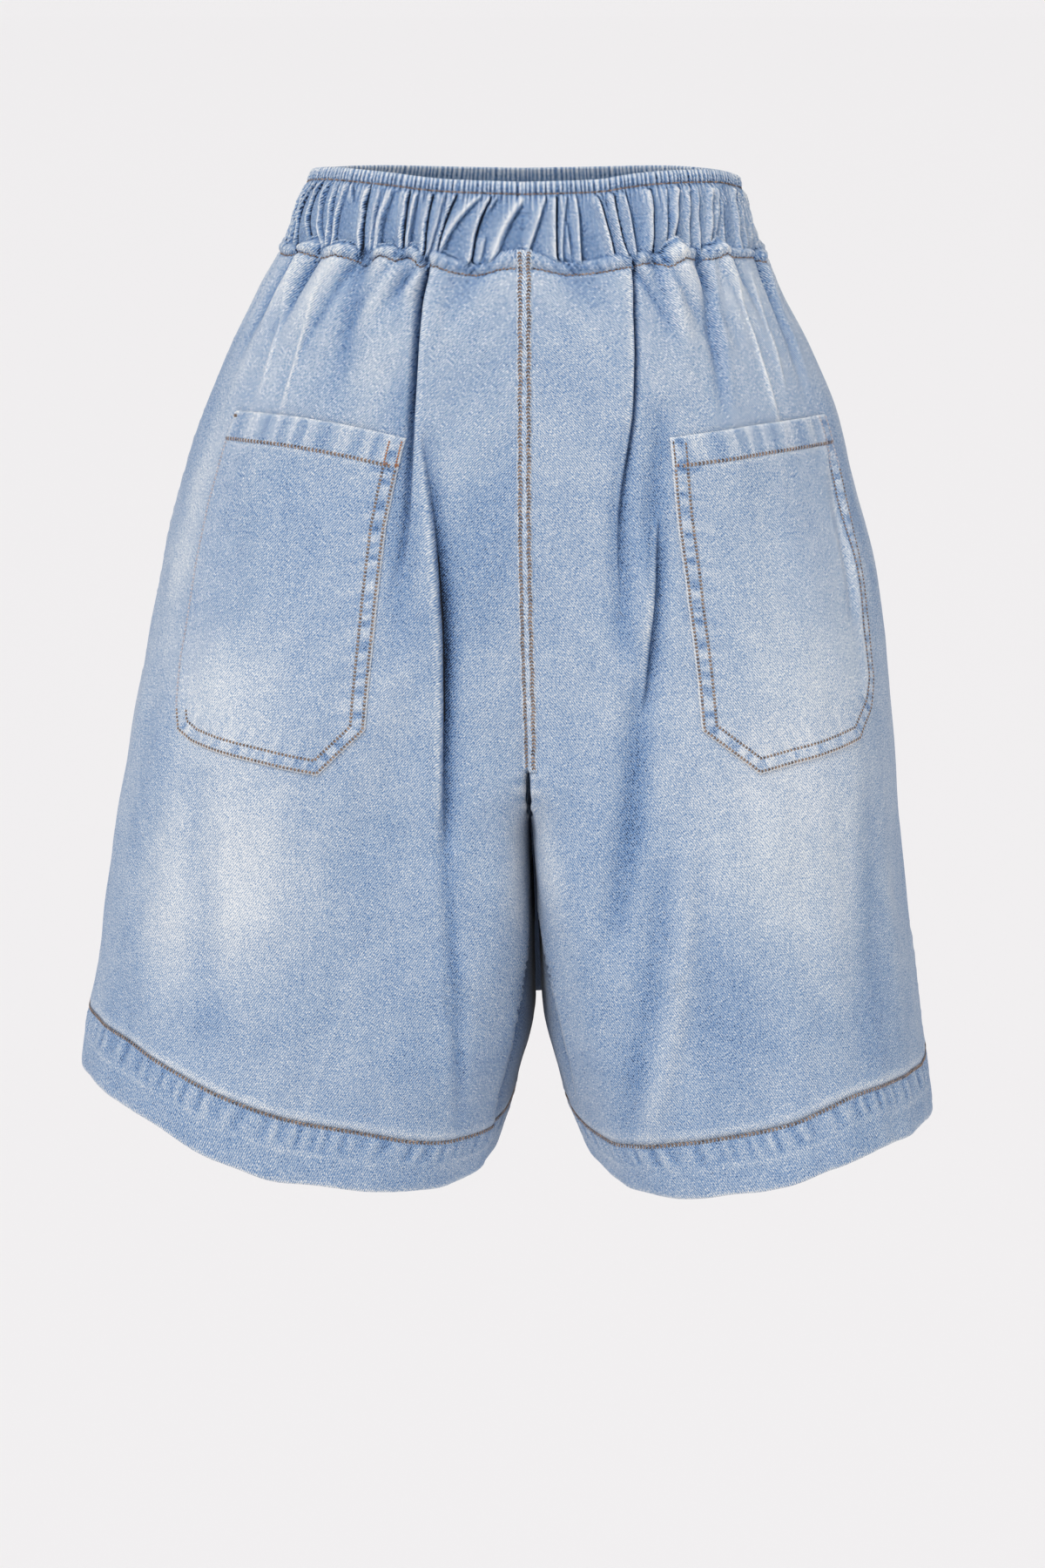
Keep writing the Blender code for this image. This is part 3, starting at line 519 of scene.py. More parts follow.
# %% Fold table
FOLDS = tables("top_w top_z low_w low_z bow half_width depth lap tuck", {
    "back_left": [
        (137, -17, 206, -205, 14, 3.8, 9, -0.16, 1.6), (190, -112, 269, -345, 8, 8, 10, 0.34, 2.4),
        (168, -80, 216, -245, 6, 8, 2.6, 0, 0), (262, -300, 305, -520, 0, 3.6, 2.2, 0.5, 0),
        (350, -382, 338, -526, -12, 9, 6, 0.3, 1.6), (99, -17, 139, -110, 3, 6, 4.6, 0.3, 0),
        (112, -17, 158, -112, 4, 8, -4.4, 0, 0), (122, -17, 152, -70, 3, 4, 3.4, 0, 0),
        (128, -17, 156, -86, 4, 5.5, -3.4, 0, 0), (84, -17, 90, -72, 0, 7.5, -4.2, 0, 0),
        (58, -17, 62, -70, 0, 6.5, -3.6, 0, 0), (168, -17, 176, -64, 0, 7, 2.8, 0, 0),
        (86, -32, 107, -116, 1, 1.3, -1.8, 0, 0), (58, -30, 85, -99, 3, 1.8, -1.3, 0, 0),
        (70, -20, 76, -72, 0, 3.4, 3, 0, 0), (46, -18, 50, -84, 0, 4.5, 3, 0, 0),
        (24, -18, 26, -90, 0, 5, 2.6, 0, 0), (150, -20, 176, -74, 0, 4, -1.4, 0, 0),
        (232, -400, 206, -520, 0, 1.6, -0.4, 0, 0), (120, -300, 150, -470, 0, 14, 2.2, 0, 0),
    ],
    "back_right": [
        (127, -17, 222, -215, 11, 3, 7, -0.14, 1.6), (182, -160, 223, -266, 2.5, 7, 6, -0.45, 1.6),
        (210, -220, 262, -400, 2, 8, 3.4, -0.2, 0), (158, -95, 200, -205, 3, 7.5, 3, 0, 0),
        (180, -105, 226, -240, 5, 6.5, 3, 0.3, 0), (345, -372, 325, -500, -20, 8, 5, 0.25, 1.4),
        (86, -17, 130, -116, 4, 3.4, 4.6, 0.5, 0), (104, -17, 142, -96, 3, 7.5, -3.8, 0, 0),
        (117, -17, 136, -66, 0, 4, 4, 0.3, 0), (73, -17, 92, -76, 0, 6.5, -4.2, 0, 0),
        (102, -17, 112, -62, 0, 6.5, -4, 0, 0), (34, -17, 62, -104, 2, 4, 4.2, 0.4, 0),
        (167, -17, 172, -58, 0, 8, 2.2, 0, 0), (74, -30, 93, -122, 3, 1.3, -1.8, 0, 0),
        (56, -30, 79, -99, 2, 1.8, -1.3, 0, 0), (123, -20, 133, -60, 0, 5, -1.6, 0, 0),
        (60, -132, 80, -225, -2, 4, 2.8, 0.5, 0), (212, -335, 268, -525, -7, 6.5, -2.8, 0, 0),
        (228, -345, 284, -525, -6, 7, 1.8, 0, 0), (90, -310, 120, -480, 0, 14, 2, 0, 0),
    ],
    "front_left": [
        (128, -17, 186, -190, 8, 3.6, 6, -0.2, 1.8), (84, -17, 108, -105, 0, 6, 3.4, 0.4, 0),
        (46, -17, 54, -80, 0, 5, 2.6, 0, 0), (106, -17, 124, -74, 0, 8, -3, 0, 0),
        (66, -17, 74, -66, 0, 6, -2.2, 0, 0), (150, -210, 176, -420, 0, 12, 1.8, 0.5, 0),
    ],
    "front_right": [
        (136, -17, 194, -176, 8, 3.4, 6, -0.2, 1.8), (92, -17, 122, -120, 0, 6, 3.4, 0.4, 0),
        (40, -17, 52, -74, 0, 5, 2.6, 0, 0), (114, -17, 128, -70, 0, 8, -3, 0, 0),
        (62, -17, 68, -62, 0, 6, -2.2, 0, 0), (140, -220, 160, -430, 0, 12, 1.8, -0.5, 0),
    ],
})
print(count(FOLDS), "folds")

# %% Shape of a fold
NARROW_GAP, FINE_CREASE, RIDGE_AT = 5.0, 2.0, 1.9
LIP_EDGE, LIP_AT, LIP_WIDE = 0.9, 0.7, 1.8
PUFF_AT, PUFF_WIDE = 5.0, 6.5
# The lip's pale edge, which is wear and partly a painted highlight; then the painted shadow in the trough
# behind the lip: its strength, where it starts and how it falls off.
WORN_AT, WORN_WIDE, LIP_WEAR_AND_HIGHLIGHT = 2.4, 1.5, 0.30
DEEP_FOLD, DARKEST_PAINTED_SHADOW, SHADE_AT, SHADE_FALL = 9.0, 1.65, 0.3, 0.7

# A displacement: out of the cloth and sideways along it, and the wash marks that go with it.
Move = namedtuple("Move", "out side wear deep")


def fold_line(fold, z):
    """How far along a fold the heights z are, from 0 at its top to 1 at its end, and its place there."""
    along = (fold.top_z - z) / (fold.top_z - fold.low_z)
    return along, fold.top_w + (fold.low_w - fold.top_w) * along + 4 * fold.bow * along * (1 - along)


def tucked_fold(fold, fade, away):
    """A fold whose ridge laps over its trough. It is looked at from its lip, with the ridge beyond.
    Its trough is darkened with painted shadow, and its lip's edge paled by wear and a painted highlight.
    """
    lip_way = -np.sign(fold.lap)
    beyond = lip_way * away
    fall = 3.0 if fold.half_width < NARROW_GAP else 1.5
    wall = np.exp(-((np.maximum(beyond, 0) / LIP_EDGE) ** 2))
    hollow = wall * np.exp(-((np.maximum(-beyond, 0) / fold.half_width) ** fall))
    puff = abs(fold.lap) * bell(beyond, PUFF_AT, PUFF_WIDE)
    shaded = np.exp(-((np.maximum(SHADE_AT - beyond, 0) / fold.half_width) ** (fall + SHADE_FALL)))
    # Painted shadow fills the trough behind the lip, and the lip's edge is paled by wear and a painted
    # highlight.
    return Move(fade * fold.depth * (puff - hollow),
                -lip_way * fade * fold.tuck * bell(beyond, LIP_AT, LIP_WIDE),
                fade * LIP_WEAR_AND_HIGHLIGHT * bell(beyond, WORN_AT, WORN_WIDE),
                fade**1.5 * DARKEST_PAINTED_SHADOW * min(fold.depth / DEEP_FOLD, 1.0) * shaded * wall)


def soft_fold(fold, fade, away):
    """A trough, or a crest where the depth is negative, with a soft ridge on one side."""
    across = away / fold.half_width
    trough = np.exp(-(across**2))
    ridge = abs(fold.lap) * fold.depth * np.exp(-((across + RIDGE_AT * np.sign(fold.lap)) ** 2))
    pale = 0.45 if fold.half_width < FINE_CREASE else 0.11
    return Move(fade * (-fold.depth * trough + ridge), 0.0,
                fade * np.clip(-fold.depth, 0, 3) * pale * trough,
                fade * np.clip(fold.depth, 0, 4) * 0.22 * trough)


print("a fold gives", ", ".join(Move._fields))

# %% All folds of a quarter
def fold_move(quarter, w, z):
    """What the folds of a quarter do to its cloth at (w, z)."""
    total = Move(*(np.zeros(np.broadcast(w, z).shape) for _ in Move._fields))
    for fold in FOLDS[quarter.name]:
        along, line = fold_line(fold, z)
        inside = np.clip(along, 0, 1)
        if fold.top_z < BAND_SEAM - 8:
            fade = np.sin(inside * math.pi) ** 0.6
        else:
            fade = np.where(along < 1, np.cos(inside * math.pi / 2), 0.0)
        shape = tucked_fold if fold.tuck else soft_fold
        total = Move(*(sum(pair) for pair in zip(total, shape(fold, fade, w - line))))
    return total


print("tucked:", sum(bool(fold.tuck) for folds in FOLDS.values() for fold in folds), "of the folds")

# %% [markdown]
# ## The roll under the waistband
#
# The seam allowances of the waistband and panels are stitched down together, and the pull of the
# elastic puckers them into a roll of uneven arches. Its upper edge and its stitching wander by
# several millimetres, so both come from a table, and a second table places the puffs and pinches.

# %% Roll table
def plain_roll(edge, stitch, pace, edge_turn, stitch_turn):
    """An evenly waved roll, for the front."""
    return [(w, edge + 2.6 * math.sin(pace * w + edge_turn), stitch + 2.0 * math.sin(pace * w + stitch_turn))
            for w in range(0, 200, 8)]


ROLLS = tables("w edge stitch", {
    "back_left": [
        (0, -16, -23), (20, -16.5, -23.5), (39, -17, -23), (48, -16.5, -21.5), (57, -14.5, -19.5),
        (64, -13, -20.8), (71, -16.4, -22.6), (79, -15.4, -22), (86, -13.8, -19.8), (94, -15.4, -21.6),
        (101, -16.8, -24), (107, -16.3, -23.8), (112, -14.6, -19.2), (117, -14.6, -20.2),
        (122, -15.6, -22.2), (127, -14.3, -20.2), (132, -17.2, -21.4), (137, -20, -25), (141, -16.8, -23.6),
        (148, -19.6, -25.4), (157, -22, -27.8), (166, -23.3, -29.2), (171, -21.4, -29.5),
        (175, -17.2, -28.6), (181, -16, -26), (190, -15.8, -25.5),
    ],
    "back_right": [
        (0, -20, -27.5), (18, -20, -28), (32, -20.2, -27), (46, -18.6, -23.6), (58, -17.8, -23),
        (67, -17.3, -22.3), (74, -12.8, -19.6), (80, -15.6, -21.8), (88, -16.2, -22.6), (97, -16.2, -22.2),
        (103, -12, -20.6), (109, -15, -23), (114, -19.2, -25.2), (120, -16.8, -23.6), (127, -18, -23.6),
        (132, -20.2, -25.3), (138, -18.6, -25.5), (148, -20.8, -27.3), (160, -22.4, -28.6),
        (171, -21.6, -29.3), (178, -18.8, -27.6), (184, -15.8, -25.9), (192, -15.5, -25.5),
    ],
    "front_left": plain_roll(-17.0, -23.6, 0.19, 0.0, 0.3),
    "front_right": plain_roll(-18.0, -24.6, 0.17, 2, 2),
})
ROLL_SHAPE = table("share out", [
    (-0.40, -3.0), (-0.16, -1.2), (0.00, 1.0), (0.14, 2.3), (0.38, 3.0), (0.66, 2.2), (0.88, 0.9),
    (1.00, 0.2), (1.14, 0.6), (1.40, 0.8), (3.50, 0.0),
])
print("roll of", count(ROLLS), "charted points")


# %% Gathers
def plain_gathers(seed):
    """Puffs and pinches by turns, for the front."""
    dice = np.random.default_rng(seed)
    return [(7.0 * k + dice.uniform(-1.2, 1.2), 4.0 if k % 2 else 2.6,
             dice.uniform(1.4, 2.4) * (1 if k % 2 else -0.8), dice.uniform(20, 34))
            for k in range(1, 26)]


# Puffs (+) and pinches (-) of the gathers, with how far they reach down below the stitching.
GATHERS = tables("w half_width height reach", {
    "back_left": [
        (12, 6, 1.2, 30), (22, 3, -1.2, 24), (33, 7, 1.4, 30), (48, 3, -1.6, 26), (59, 6, 2.2, 34),
        (71, 3, -2, 28), (86, 6, 2, 34), (99, 3, -2.4, 34), (112, 6, 2.4, 34), (120.5, 2.4, -1.8, 22),
        (127, 4, 2, 26), (135, 2.6, -2.4, 20), (142, 3.4, 2.2, 22), (160, 9, -1.2, 12), (181, 8, 0.9, 14),
    ],
    "back_right": [
        (10, 6, 1, 30), (22, 3, -1.4, 24), (32, 5, 1.6, 30), (41, 3, -1.6, 24), (54, 8, 1.4, 30),
        (67, 2.6, -1.6, 22), (74, 4, 2.4, 32), (81, 2.6, -1.4, 22), (89, 5, 0.8, 24), (96.5, 2.2, -1.4, 20),
        (103, 4, 2.6, 32), (114, 2.4, -2.2, 24), (123, 6, 2, 34), (133, 2.4, -2.6, 22), (141, 5, 1.4, 24),
        (162, 9, -1.2, 12), (182, 7, 0.9, 14),
    ],
    "front_left": plain_gathers(5),
    "front_right": plain_gathers(8),
})
print(count(GATHERS), "puffs and pinches")

# %% Lines of the roll
ROLL_WAVER = 0.25


def roll_lines(quarter, w):
    """Heights of the roll's upper edge and of its stitching, on the level model."""
    lines = []
    for column in ("edge", "stitch"):
        height = np.interp(w, numbers(ROLLS[quarter.name], "w"), numbers(ROLLS[quarter.name], column))
        height = height + ROLL_WAVER * np.sin(w * 1.9)
        lines.append(height - waist_rise(quarter, w, height - 4.0))
    return lines


# %% Height of the gathers
USUAL_REACH, FAINT = 25, 1e-6


def gather_at(quarter, w):
    """The height of the puffs and pinches at w, and how far each place's gathers reach down."""
    height, reach, weight = 0.0 * w, FAINT * USUAL_REACH + 0.0 * w, FAINT + 0.0 * w
    for gather in GATHERS[quarter.name]:
        near = bell(w, gather.w, gather.half_width)
        height = height + gather.height * near
        reach, weight = reach + gather.reach * near, weight + near
    return height, reach / weight


print("tallest puff:", round(float(gather_at(BACK_LEFT, np.arange(0.0, 190.0))[0].max()), 1))

# %% Shape of the roll
GATHER_REACH = 1.3


def roll_move(quarter, w, z):
    """The roll and the gathers below it."""
    edge, stitch = roll_lines(quarter, w)
    share = (edge - z) / np.maximum(edge - stitch, 1.0)
    height, reach = gather_at(quarter, w)
    shape = np.interp(share, numbers(ROLL_SHAPE, "share"), numbers(ROLL_SHAPE, "out"))
    on_roll = smooth_step(share, -0.1, 0.3) * (1 - smooth_step(share, 0.7, 1.0))
    below = np.maximum(stitch - z, 0)
    hanging = smooth_step(share, 0.95, 1.5) * np.exp(-((below / (GATHER_REACH * reach)) ** 2))
    ribs = np.sin(w * 1.15 + 1.6 * np.sin(w * 0.31)) + 0.6 * np.sin(w * 2.1 + 2.0)
    out = shape + height * (0.55 * on_roll + 1.05 * hanging) + 0.24 * ribs * on_roll
    wear = on_roll * (-0.02 + 0.09 * height + 0.28 * ribs) + hanging * 0.12 * np.maximum(height, 0)
    pinched, between = np.maximum(-height, 0), np.maximum(-ribs - 0.3, 0)
    deep = on_roll * (0.34 * pinched + 0.25 * between) + hanging * 0.34 * pinched
    # A dark line along the stitching, and painted shadow in the crevice above the roll's upper edge, where
    # the band runs behind it.
    deep = deep + 0.60 * bell(share, 1.02, 0.10) * (share > 0.6) + 1.5 * bell(share, -0.17, 0.13)
    fade = smooth_step(share, -0.5, -0.3) * (z > -110)
    return Move(out * fade, 0.0, wear * fade, deep * fade)


print("roll at the seat:", [round(float(z), 1) for z in roll_lines(BACK_LEFT, 90.0)])

# %% [markdown]
# ## Drape of the panels
#
# Folds and roll are added to soft uneven hills, which every hanging cloth has, and each seam edge is
# turned in a little. Two edges that turn in side by side make the groove of a plain seam.

# %% Lower edges
HEM_STEPS = 240
WIDENING, WIDENING_RUN = 0.2, 250


def leg_width(quarter, z):
    """A quarter's width below the fork without the curve of its inseam."""
    return cloth_width(quarter, FORK) * (1 + WIDENING * np.clip((FORK - z) / WIDENING_RUN, 0, 1))


def hem_path(quarter, steps=HEM_STEPS):
    """(w, z) along a panel's lower edge."""
    share = np.linspace(0, 1, steps + 1)
    z = read(HEM_LINE, quarter.name, share, key="share")
    full = cloth_width(quarter, z[-1])
    outer = min(full, leg_width(quarter, z[-1]))
    return outer * share + (full - outer) * share**4, z


print("lowest stitching of the left hem:", round(float(hem_path(BACK_LEFT)[1].min()), 1))

# %% Drape
PUCKER_PITCH = 9.5


def drape(quarter, w, z):
    """Everything that moves a panel's cloth away from the section model."""
    folds, roll = fold_move(quarter, w, z), roll_move(quarter, w, z)
    seed = QUARTERS.index(quarter) * 10
    hanging = smooth_step(-z, 40, 140)
    out = folds.out + roll.out + hanging * 1.1 * ripple(w, z, 95, seed, 2.4)
    out = out + (0.35 + 0.25 * hanging) * ripple(w, z, 34, seed + 1, 2.0)
    out = out + 0.10 * ripple(w, z, 13, seed + 2, 1.6)
    from_centre = cloth_width(quarter, z) - w
    inseam = np.where(z < FORK, from_centre, 99.0)
    pucker = np.sin(TURN * z / PUCKER_PITCH + 1.3 * np.sin(z * 0.11))
    wear, deep = folds.wear + roll.wear, folds.deep + roll.deep
    below_roll = smooth_step(-z, 24, 34)
    for away in (w, inseam):
        out = out + below_roll * (0.35 * pucker * bell(away, 3.0, 3.4) - 1.5 * bell(away, 0.0, 1.4))
        wear = wear + below_roll * (0.30 + 0.20 * pucker) * bell(away, 2.2, 1.6)
        deep = deep + below_roll * (0.5 * bell(away, 0.0, 1.2) - 0.25 * pucker * bell(away, 6.0, 3.0))
    above_hem = z - np.interp(w, *hem_path(quarter))
    # A pale band just above the hem's stitching, strongest across the middle of the leg: wear, and partly a
    # painted highlight on the puffed cloth.
    crescent = smooth_step(w, 30, 110) * (1 - smooth_step(w, 290, 350))
    wear = wear + (0.18 + 0.42 * crescent) * bell(above_hem, 2.6, 2.6)
    out = out + 0.5 * bell(above_hem, 3.2, 3.0) - 0.4 * bell(above_hem, 0.0, 1.2)
    return Move(out, folds.side, wear, deep)


def on_panel(quarter, w, z, out=0.0):
    """Points on a panel's outer face and the way out of it."""
    move = drape(quarter, w, z)
    return lay(quarter, w, z, move.out + out, move.side)


# %% Closer columns at a fold
FOLD_CROWD, FOLD_REACH, FINE_STEPS = 4.5, 6.5, 801


def crowded(quarter, z, full, share):
    """Cloth distances of one row, closer together where a tucked fold or fine crease crosses it."""
    fine = np.linspace(0, 1, FINE_STEPS)
    z_fine = np.interp(fine, share, z)
    crowd = np.ones_like(fine)
    for fold in FOLDS[quarter.name]:
        fine_crease = fold.half_width < FINE_CREASE
        if fold.tuck or fine_crease:
            along, line = fold_line(fold, z_fine)
            near = smooth_step(1.15 - np.abs(along - 0.4), 0.3, 0.6) * (0.5 if fine_crease else 1.0)
            crowd = crowd + FOLD_CROWD * near * bell(fine * full, line, FOLD_REACH)
    walked = np.concatenate([[0], np.cumsum((crowd[1:] + crowd[:-1]) / 2)])
    return full * np.interp(share * walked[-1], walked, fine)


# %% Grid of a panel
# Rows are given by their drop below the seam: close together over the roll, wider below it.
GATHER_ROWS = (-3.4, -1.6, -0.4, 0.5, 1.3, 2.3, 3.5, 4.8, 6.0, 7.0, 7.8, 8.5, 9.2, 10.0, 11.0, 12.2, 13.6,
               15.2, 17.0, 19.0, 21.2, 23.6, 26.2, 29.2, 32.4, 36.0)
ROLL_RUN, SETTLED_RUN = 8.5, 48.0
FORK_CROWD, FORK_REACH, FORK_ABOVE = 1.4, 55.0, 10.0


def panel_places(quarter):
    """(w, z) of a panel's grid: rows follow the rise seam and inseam, columns crowd at deep folds."""
    top = BAND_SEAM - SEAM_GAP
    share = np.linspace(0, 1, quarter.columns + 1)
    hem = read(HEM_LINE, quarter.name, share, key="share")
    side_run, rise_run = top - hem[0], top - FORK
    seam_run = rise_run + CROTCH_RUN + CROTCH - hem[-1]
    start = GATHER_ROWS[-1]
    fine = np.linspace(start, side_run, FINE_STEPS)
    crowd = np.cumsum(1 + FORK_CROWD * bell(fine, rise_run - FORK_ABOVE, FORK_REACH))
    even = np.linspace(crowd[0], crowd[-1], quarter.rows + 1)[1:]
    drop = np.concatenate([GATHER_ROWS, np.interp(even, crowd, fine)])
    run = np.where(drop < start, drop, start + (drop - start) * (seam_run - start) / (side_run - start))
    turn = np.clip((run - rise_run) / CROTCH_RUN, 0, 1) * QUARTER_TURN
    seam_z = top - np.minimum(run, rise_run) - (FORK - CROTCH) * np.sin(turn)
    seam_z = seam_z - np.maximum(run - rise_run - CROTCH_RUN, 0)
    side_z = top - drop
    blend = smooth_step(share, 0.2, 1.0)
    z = side_z[:, None] * (1 - blend) + seam_z[:, None] * blend
    miss = hem - (side_z[-1] * (1 - blend) + seam_z[-1] * blend)
    nearing = (np.maximum(drop / drop[-1], 0) ** 3)[:, None]
    z = z + miss * nearing
    full = cloth_width(quarter, seam_z)
    outer = np.minimum(full, leg_width(quarter, seam_z))
    w = np.array([crowded(quarter, z[i], outer[i], share) + (full[i] - outer[i]) * share**4
                  for i in range(len(drop))])
    z = z + (np.interp(w[-1], *hem_path(quarter)) - z[-1]) * nearing
    edge, stitch = roll_lines(quarter, w)
    rolled = edge + (stitch - edge) * drop[:, None] / ROLL_RUN
    lower = stitch - (top - ROLL_RUN)
    hung = z + lower * (1 - smooth_step(drop, ROLL_RUN, SETTLED_RUN))[:, None]
    return w, np.where(drop[:, None] <= ROLL_RUN, rolled, hung)
print("drape ready,", len(GATHER_ROWS), "rows for the gathers")

# %% [markdown]
# ## Denim
#
# Denim is a cotton twill: blue warp threads over white weft, in diagonal ribs about 1.2 mm apart.
# Stone washing takes the dye off whatever stands proud, which mottles it. The material reads the
# cloth's own UV map, in metres along the cloth, so the ribs turn with every panel, and adds the
# wash marks stored at the points, painted light and shade among them. One ramp holds all the blues,
# from a slate that is painted shade in the deepest gaps, through the dye left in a crease, to the
# white of a rubbed edge. A mix then greys the cloth by the shadow mark, which is painted shade.

# %% Denim values
TWILL_PITCH, RIB_SHARE = 1.2, 0.34
TWILL_TURN = math.radians(30)
# A wave texture of scale 1 turns by 20 radians in a metre.
WAVE_PER_METRE = TURN / 20
# The darkest stop, near black slate, is painted shade for the deepest gaps; the rest are the blues of the
# dye and the wash.
BLUES = [(0.00, "#222c3e"), (0.05, "#33496f"), (0.13, "#466a9f"), (0.27, "#6083ae"), (0.48, "#889fbe"),
         (0.66, "#a7b6c9"), (0.84, "#cad0d8"), (1.00, "#e8e9ea")]
# The wrong side is painted dark slate, as the shade inside the legs.
WRONG_SIDE_IN_SHADE = [(0.0, "#1b212b"), (0.5, "#404957"), (1.0, "#7d848f")]
SHADOW = "#39414e"
# Noises from single threads to hand-sized blotches; those finer than THREADS turn with the ribs.
GRAINS = table("size stretch detail share", [
    (0.6, 0.60, 0.0, 1.10), (1.5, 0.50, 1.0, 0.36), (4.5, 0.75, 2.0, 0.22), (16.0, 0.7, 2.0, 0.22),
    (60.0, 0.8, 1.0, 0.16)])
THREADS = 3.0
# How far along the blues each mark moves the colour, painted shade and highlights included.
MARK_SHARES = {"fade": 0.36, "wear": 0.40, "deep": -0.38}
BUMP, BUMP_DEPTH = 0.55, 0.22


def blues_ramp(tree, factor, blues):
    """A colour ramp with the blues of the wash."""
    ramp = add(tree, "ShaderNodeValToRGB", Fac=factor)
    stops = ramp.color_ramp.elements
    for stop, (place, colour) in zip(stops, (blues[0], blues[-1])):
        stop.position, stop.color = place, hex_colour(colour)
    for place, colour in blues[1:-1]:
        stops.new(place).color = hex_colour(colour)
    return ramp


print(len(BLUES), "blues and", len(GRAINS), "sizes of mottling")

# %% Denim material
def attribute(tree, name):
    """The value of a wash mark at each point."""
    return add(tree, "ShaderNodeAttribute", {"attribute_name": name}).outputs["Fac"]


def plus_times(tree, total, source, share):
    """The sum of a total and a share of a source."""
    return add(tree, "ShaderNodeMath", {"operation": "MULTIPLY_ADD"}, i0=source, i1=share,
               i2=total).outputs["Value"]


def denim(name, tone, blues=BLUES, contrast=1.0):
    """Washed cotton twill, dull and slightly furry, whose ribs and mottling follow the UV map."""
    made, tree, shader = new_material(name)
    cloth = add(tree, "ShaderNodeUVMap", {"uv_map": "cloth"}).outputs["UV"]
    turned = add(tree, "ShaderNodeMapping", Vector=cloth, Rotation=(0, 0, TWILL_TURN)).outputs["Vector"]
    ribs = add(tree, "ShaderNodeTexWave", Vector=turned, Scale=WAVE_PER_METRE / (TWILL_PITCH * MM),
               Distortion=2.2, Detail=1.0, Detail_Scale=0.35).outputs["Fac"]
    parts = [(ribs, RIB_SHARE * contrast)]
    for grain in GRAINS:
        laid = add(tree, "ShaderNodeMapping", Vector=turned if grain.size < THREADS else cloth,
                   Scale=(1.0, grain.stretch, 1.0))
        noise = add(tree, "ShaderNodeTexNoise", Vector=laid.outputs["Vector"],
                    Scale=1 / (grain.size * MM), Detail=grain.detail)
        parts.append((noise.outputs["Fac"], grain.share * contrast))
    marked = [(attribute(tree, mark), share) for mark, share in MARK_SHARES.items()]
    total = tone - sum(share for _, share in parts) / 2
    for source, share in parts + marked:
        total = plus_times(tree, total, source, share)
    ramp = blues_ramp(tree, total, blues)
    greyed = add(tree, "ShaderNodeMix", {"data_type": "RGBA"}, i0=attribute(tree, "shadow"),
                 i6=ramp.outputs["Color"], i7=hex_colour(SHADOW))
    relief = plus_times(tree, ribs, parts[1][0], 0.9)
    bump = add(tree, "ShaderNodeBump", Height=relief, Strength=BUMP, Distance=BUMP_DEPTH * MM)
    tree.links.new(greyed.outputs[2], shader.inputs["Base Color"])
    tree.links.new(bump.outputs["Normal"], shader.inputs["Normal"])
    shader.inputs["Roughness"].default_value = 0.88
    shader.inputs["Specular IOR Level"].default_value = 0.25
    shader.inputs["Sheen Weight"].default_value = 0.12
    shader.inputs["Sheen Roughness"].default_value = 0.5
    return made


# %% Four denims
washed_denim = denim("stone washed denim", 0.60)
gathered_denim = denim("gathered denim", 0.32)
tie_cloth = denim("denim tie cloth", 0.44)
# The inside of the panels takes the wrong side in painted shade.
shaded_inside_denim = denim("wrong side of the denim in painted shade", 0.45, WRONG_SIDE_IN_SHADE, 0.8)
print("denims:", ", ".join(m.name for m in (washed_denim, gathered_denim, tie_cloth, shaded_inside_denim)))

# %% [markdown]
# ## Cloth from a grid
#
# Every piece of cloth starts as a flat bmesh grid whose points are then placed on the draped shape.
# The UV map keeps the place on the flat cloth, and the wash marks go into point attributes. A closed
# tube is a grid whose last column lies on its first, and merging the doubles closes it.

# %% Grid of cloth
MEETING = 1e-6
# The shadow mark is painted shade; the others carry wash, wear and kept dye, with painted shade and painted
# highlights among them.
MARKS = ("fade", "wear", "deep", "shadow")


def closed(values, axis=0):
    """An array with its first row, or its first column, repeated at the end."""
    return np.concatenate([values, values.take([0], axis)], axis)


def woven_grid(points, places, marks, meets=False):
    """A bmesh grid bent onto points, rows by columns, with its UV map and wash marks."""
    rows, columns = points.shape[0] - 1, points.shape[1] - 1
    marks = {"shadow": 0 * points[..., 0], **marks}
    bm = bmesh.new()
    bmesh.ops.create_grid(bm, x_segments=columns, y_segments=rows, size=1.0)
    uv_layer = bm.loops.layers.uv.new("cloth")
    layers = [bm.verts.layers.float.new(mark) for mark in MARKS]
    flat = {}
    for vert in bm.verts:
        column = round((vert.co.x + 1) / 2 * columns)
        row = round((vert.co.y + 1) / 2 * rows)
        vert.co = Vector(points[row, column]) * MM
        flat[vert] = places[row, column] * MM
        for layer, mark in zip(layers, MARKS):
            vert[layer] = marks[mark][row, column]
    for face in bm.faces:
        for loop in face.loops:
            loop[uv_layer].uv = flat[loop.vert]
    if meets:
        bmesh.ops.remove_doubles(bm, verts=bm.verts, dist=MEETING)
    return bm


print("wash marks:", ", ".join(MARKS))

# %% From grid to piece
def face_out(bm, half):
    """Turns every face away from the middle line of a leg, or of the waist where half is 0."""
    bm.normal_update()
    inside = Vector((half * LEG_MIDDLE * MM, 0.0, 0.0))
    score = sum((face.calc_center_median() - inside).xy.dot(face.normal.xy) for face in bm.faces)
    if score < 0:
        bmesh.ops.reverse_faces(bm, faces=bm.faces)


def piece(name, bm, materials, node=None, thickness=None):
    """A finished piece of the shorts, which rides on the one body and stands for its CAD node."""
    mesh = bpy.data.meshes.new(name)
    bm.to_mesh(mesh)
    bm.free()
    for material in materials:
        mesh.materials.append(material)
    mesh.shade_smooth()
    made = bpy.data.objects.new(name, mesh)
    bpy.context.scene.collection.objects.link(made)
    if thickness:
        wall = made.modifiers.new("cloth", "SOLIDIFY")
        wall.thickness = thickness * MM
        wall.material_offset = len(materials) - 1
    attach(made, "root")
    if node:
        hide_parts(node)
    print(name, "has", len(mesh.polygons), "faces")
    return made


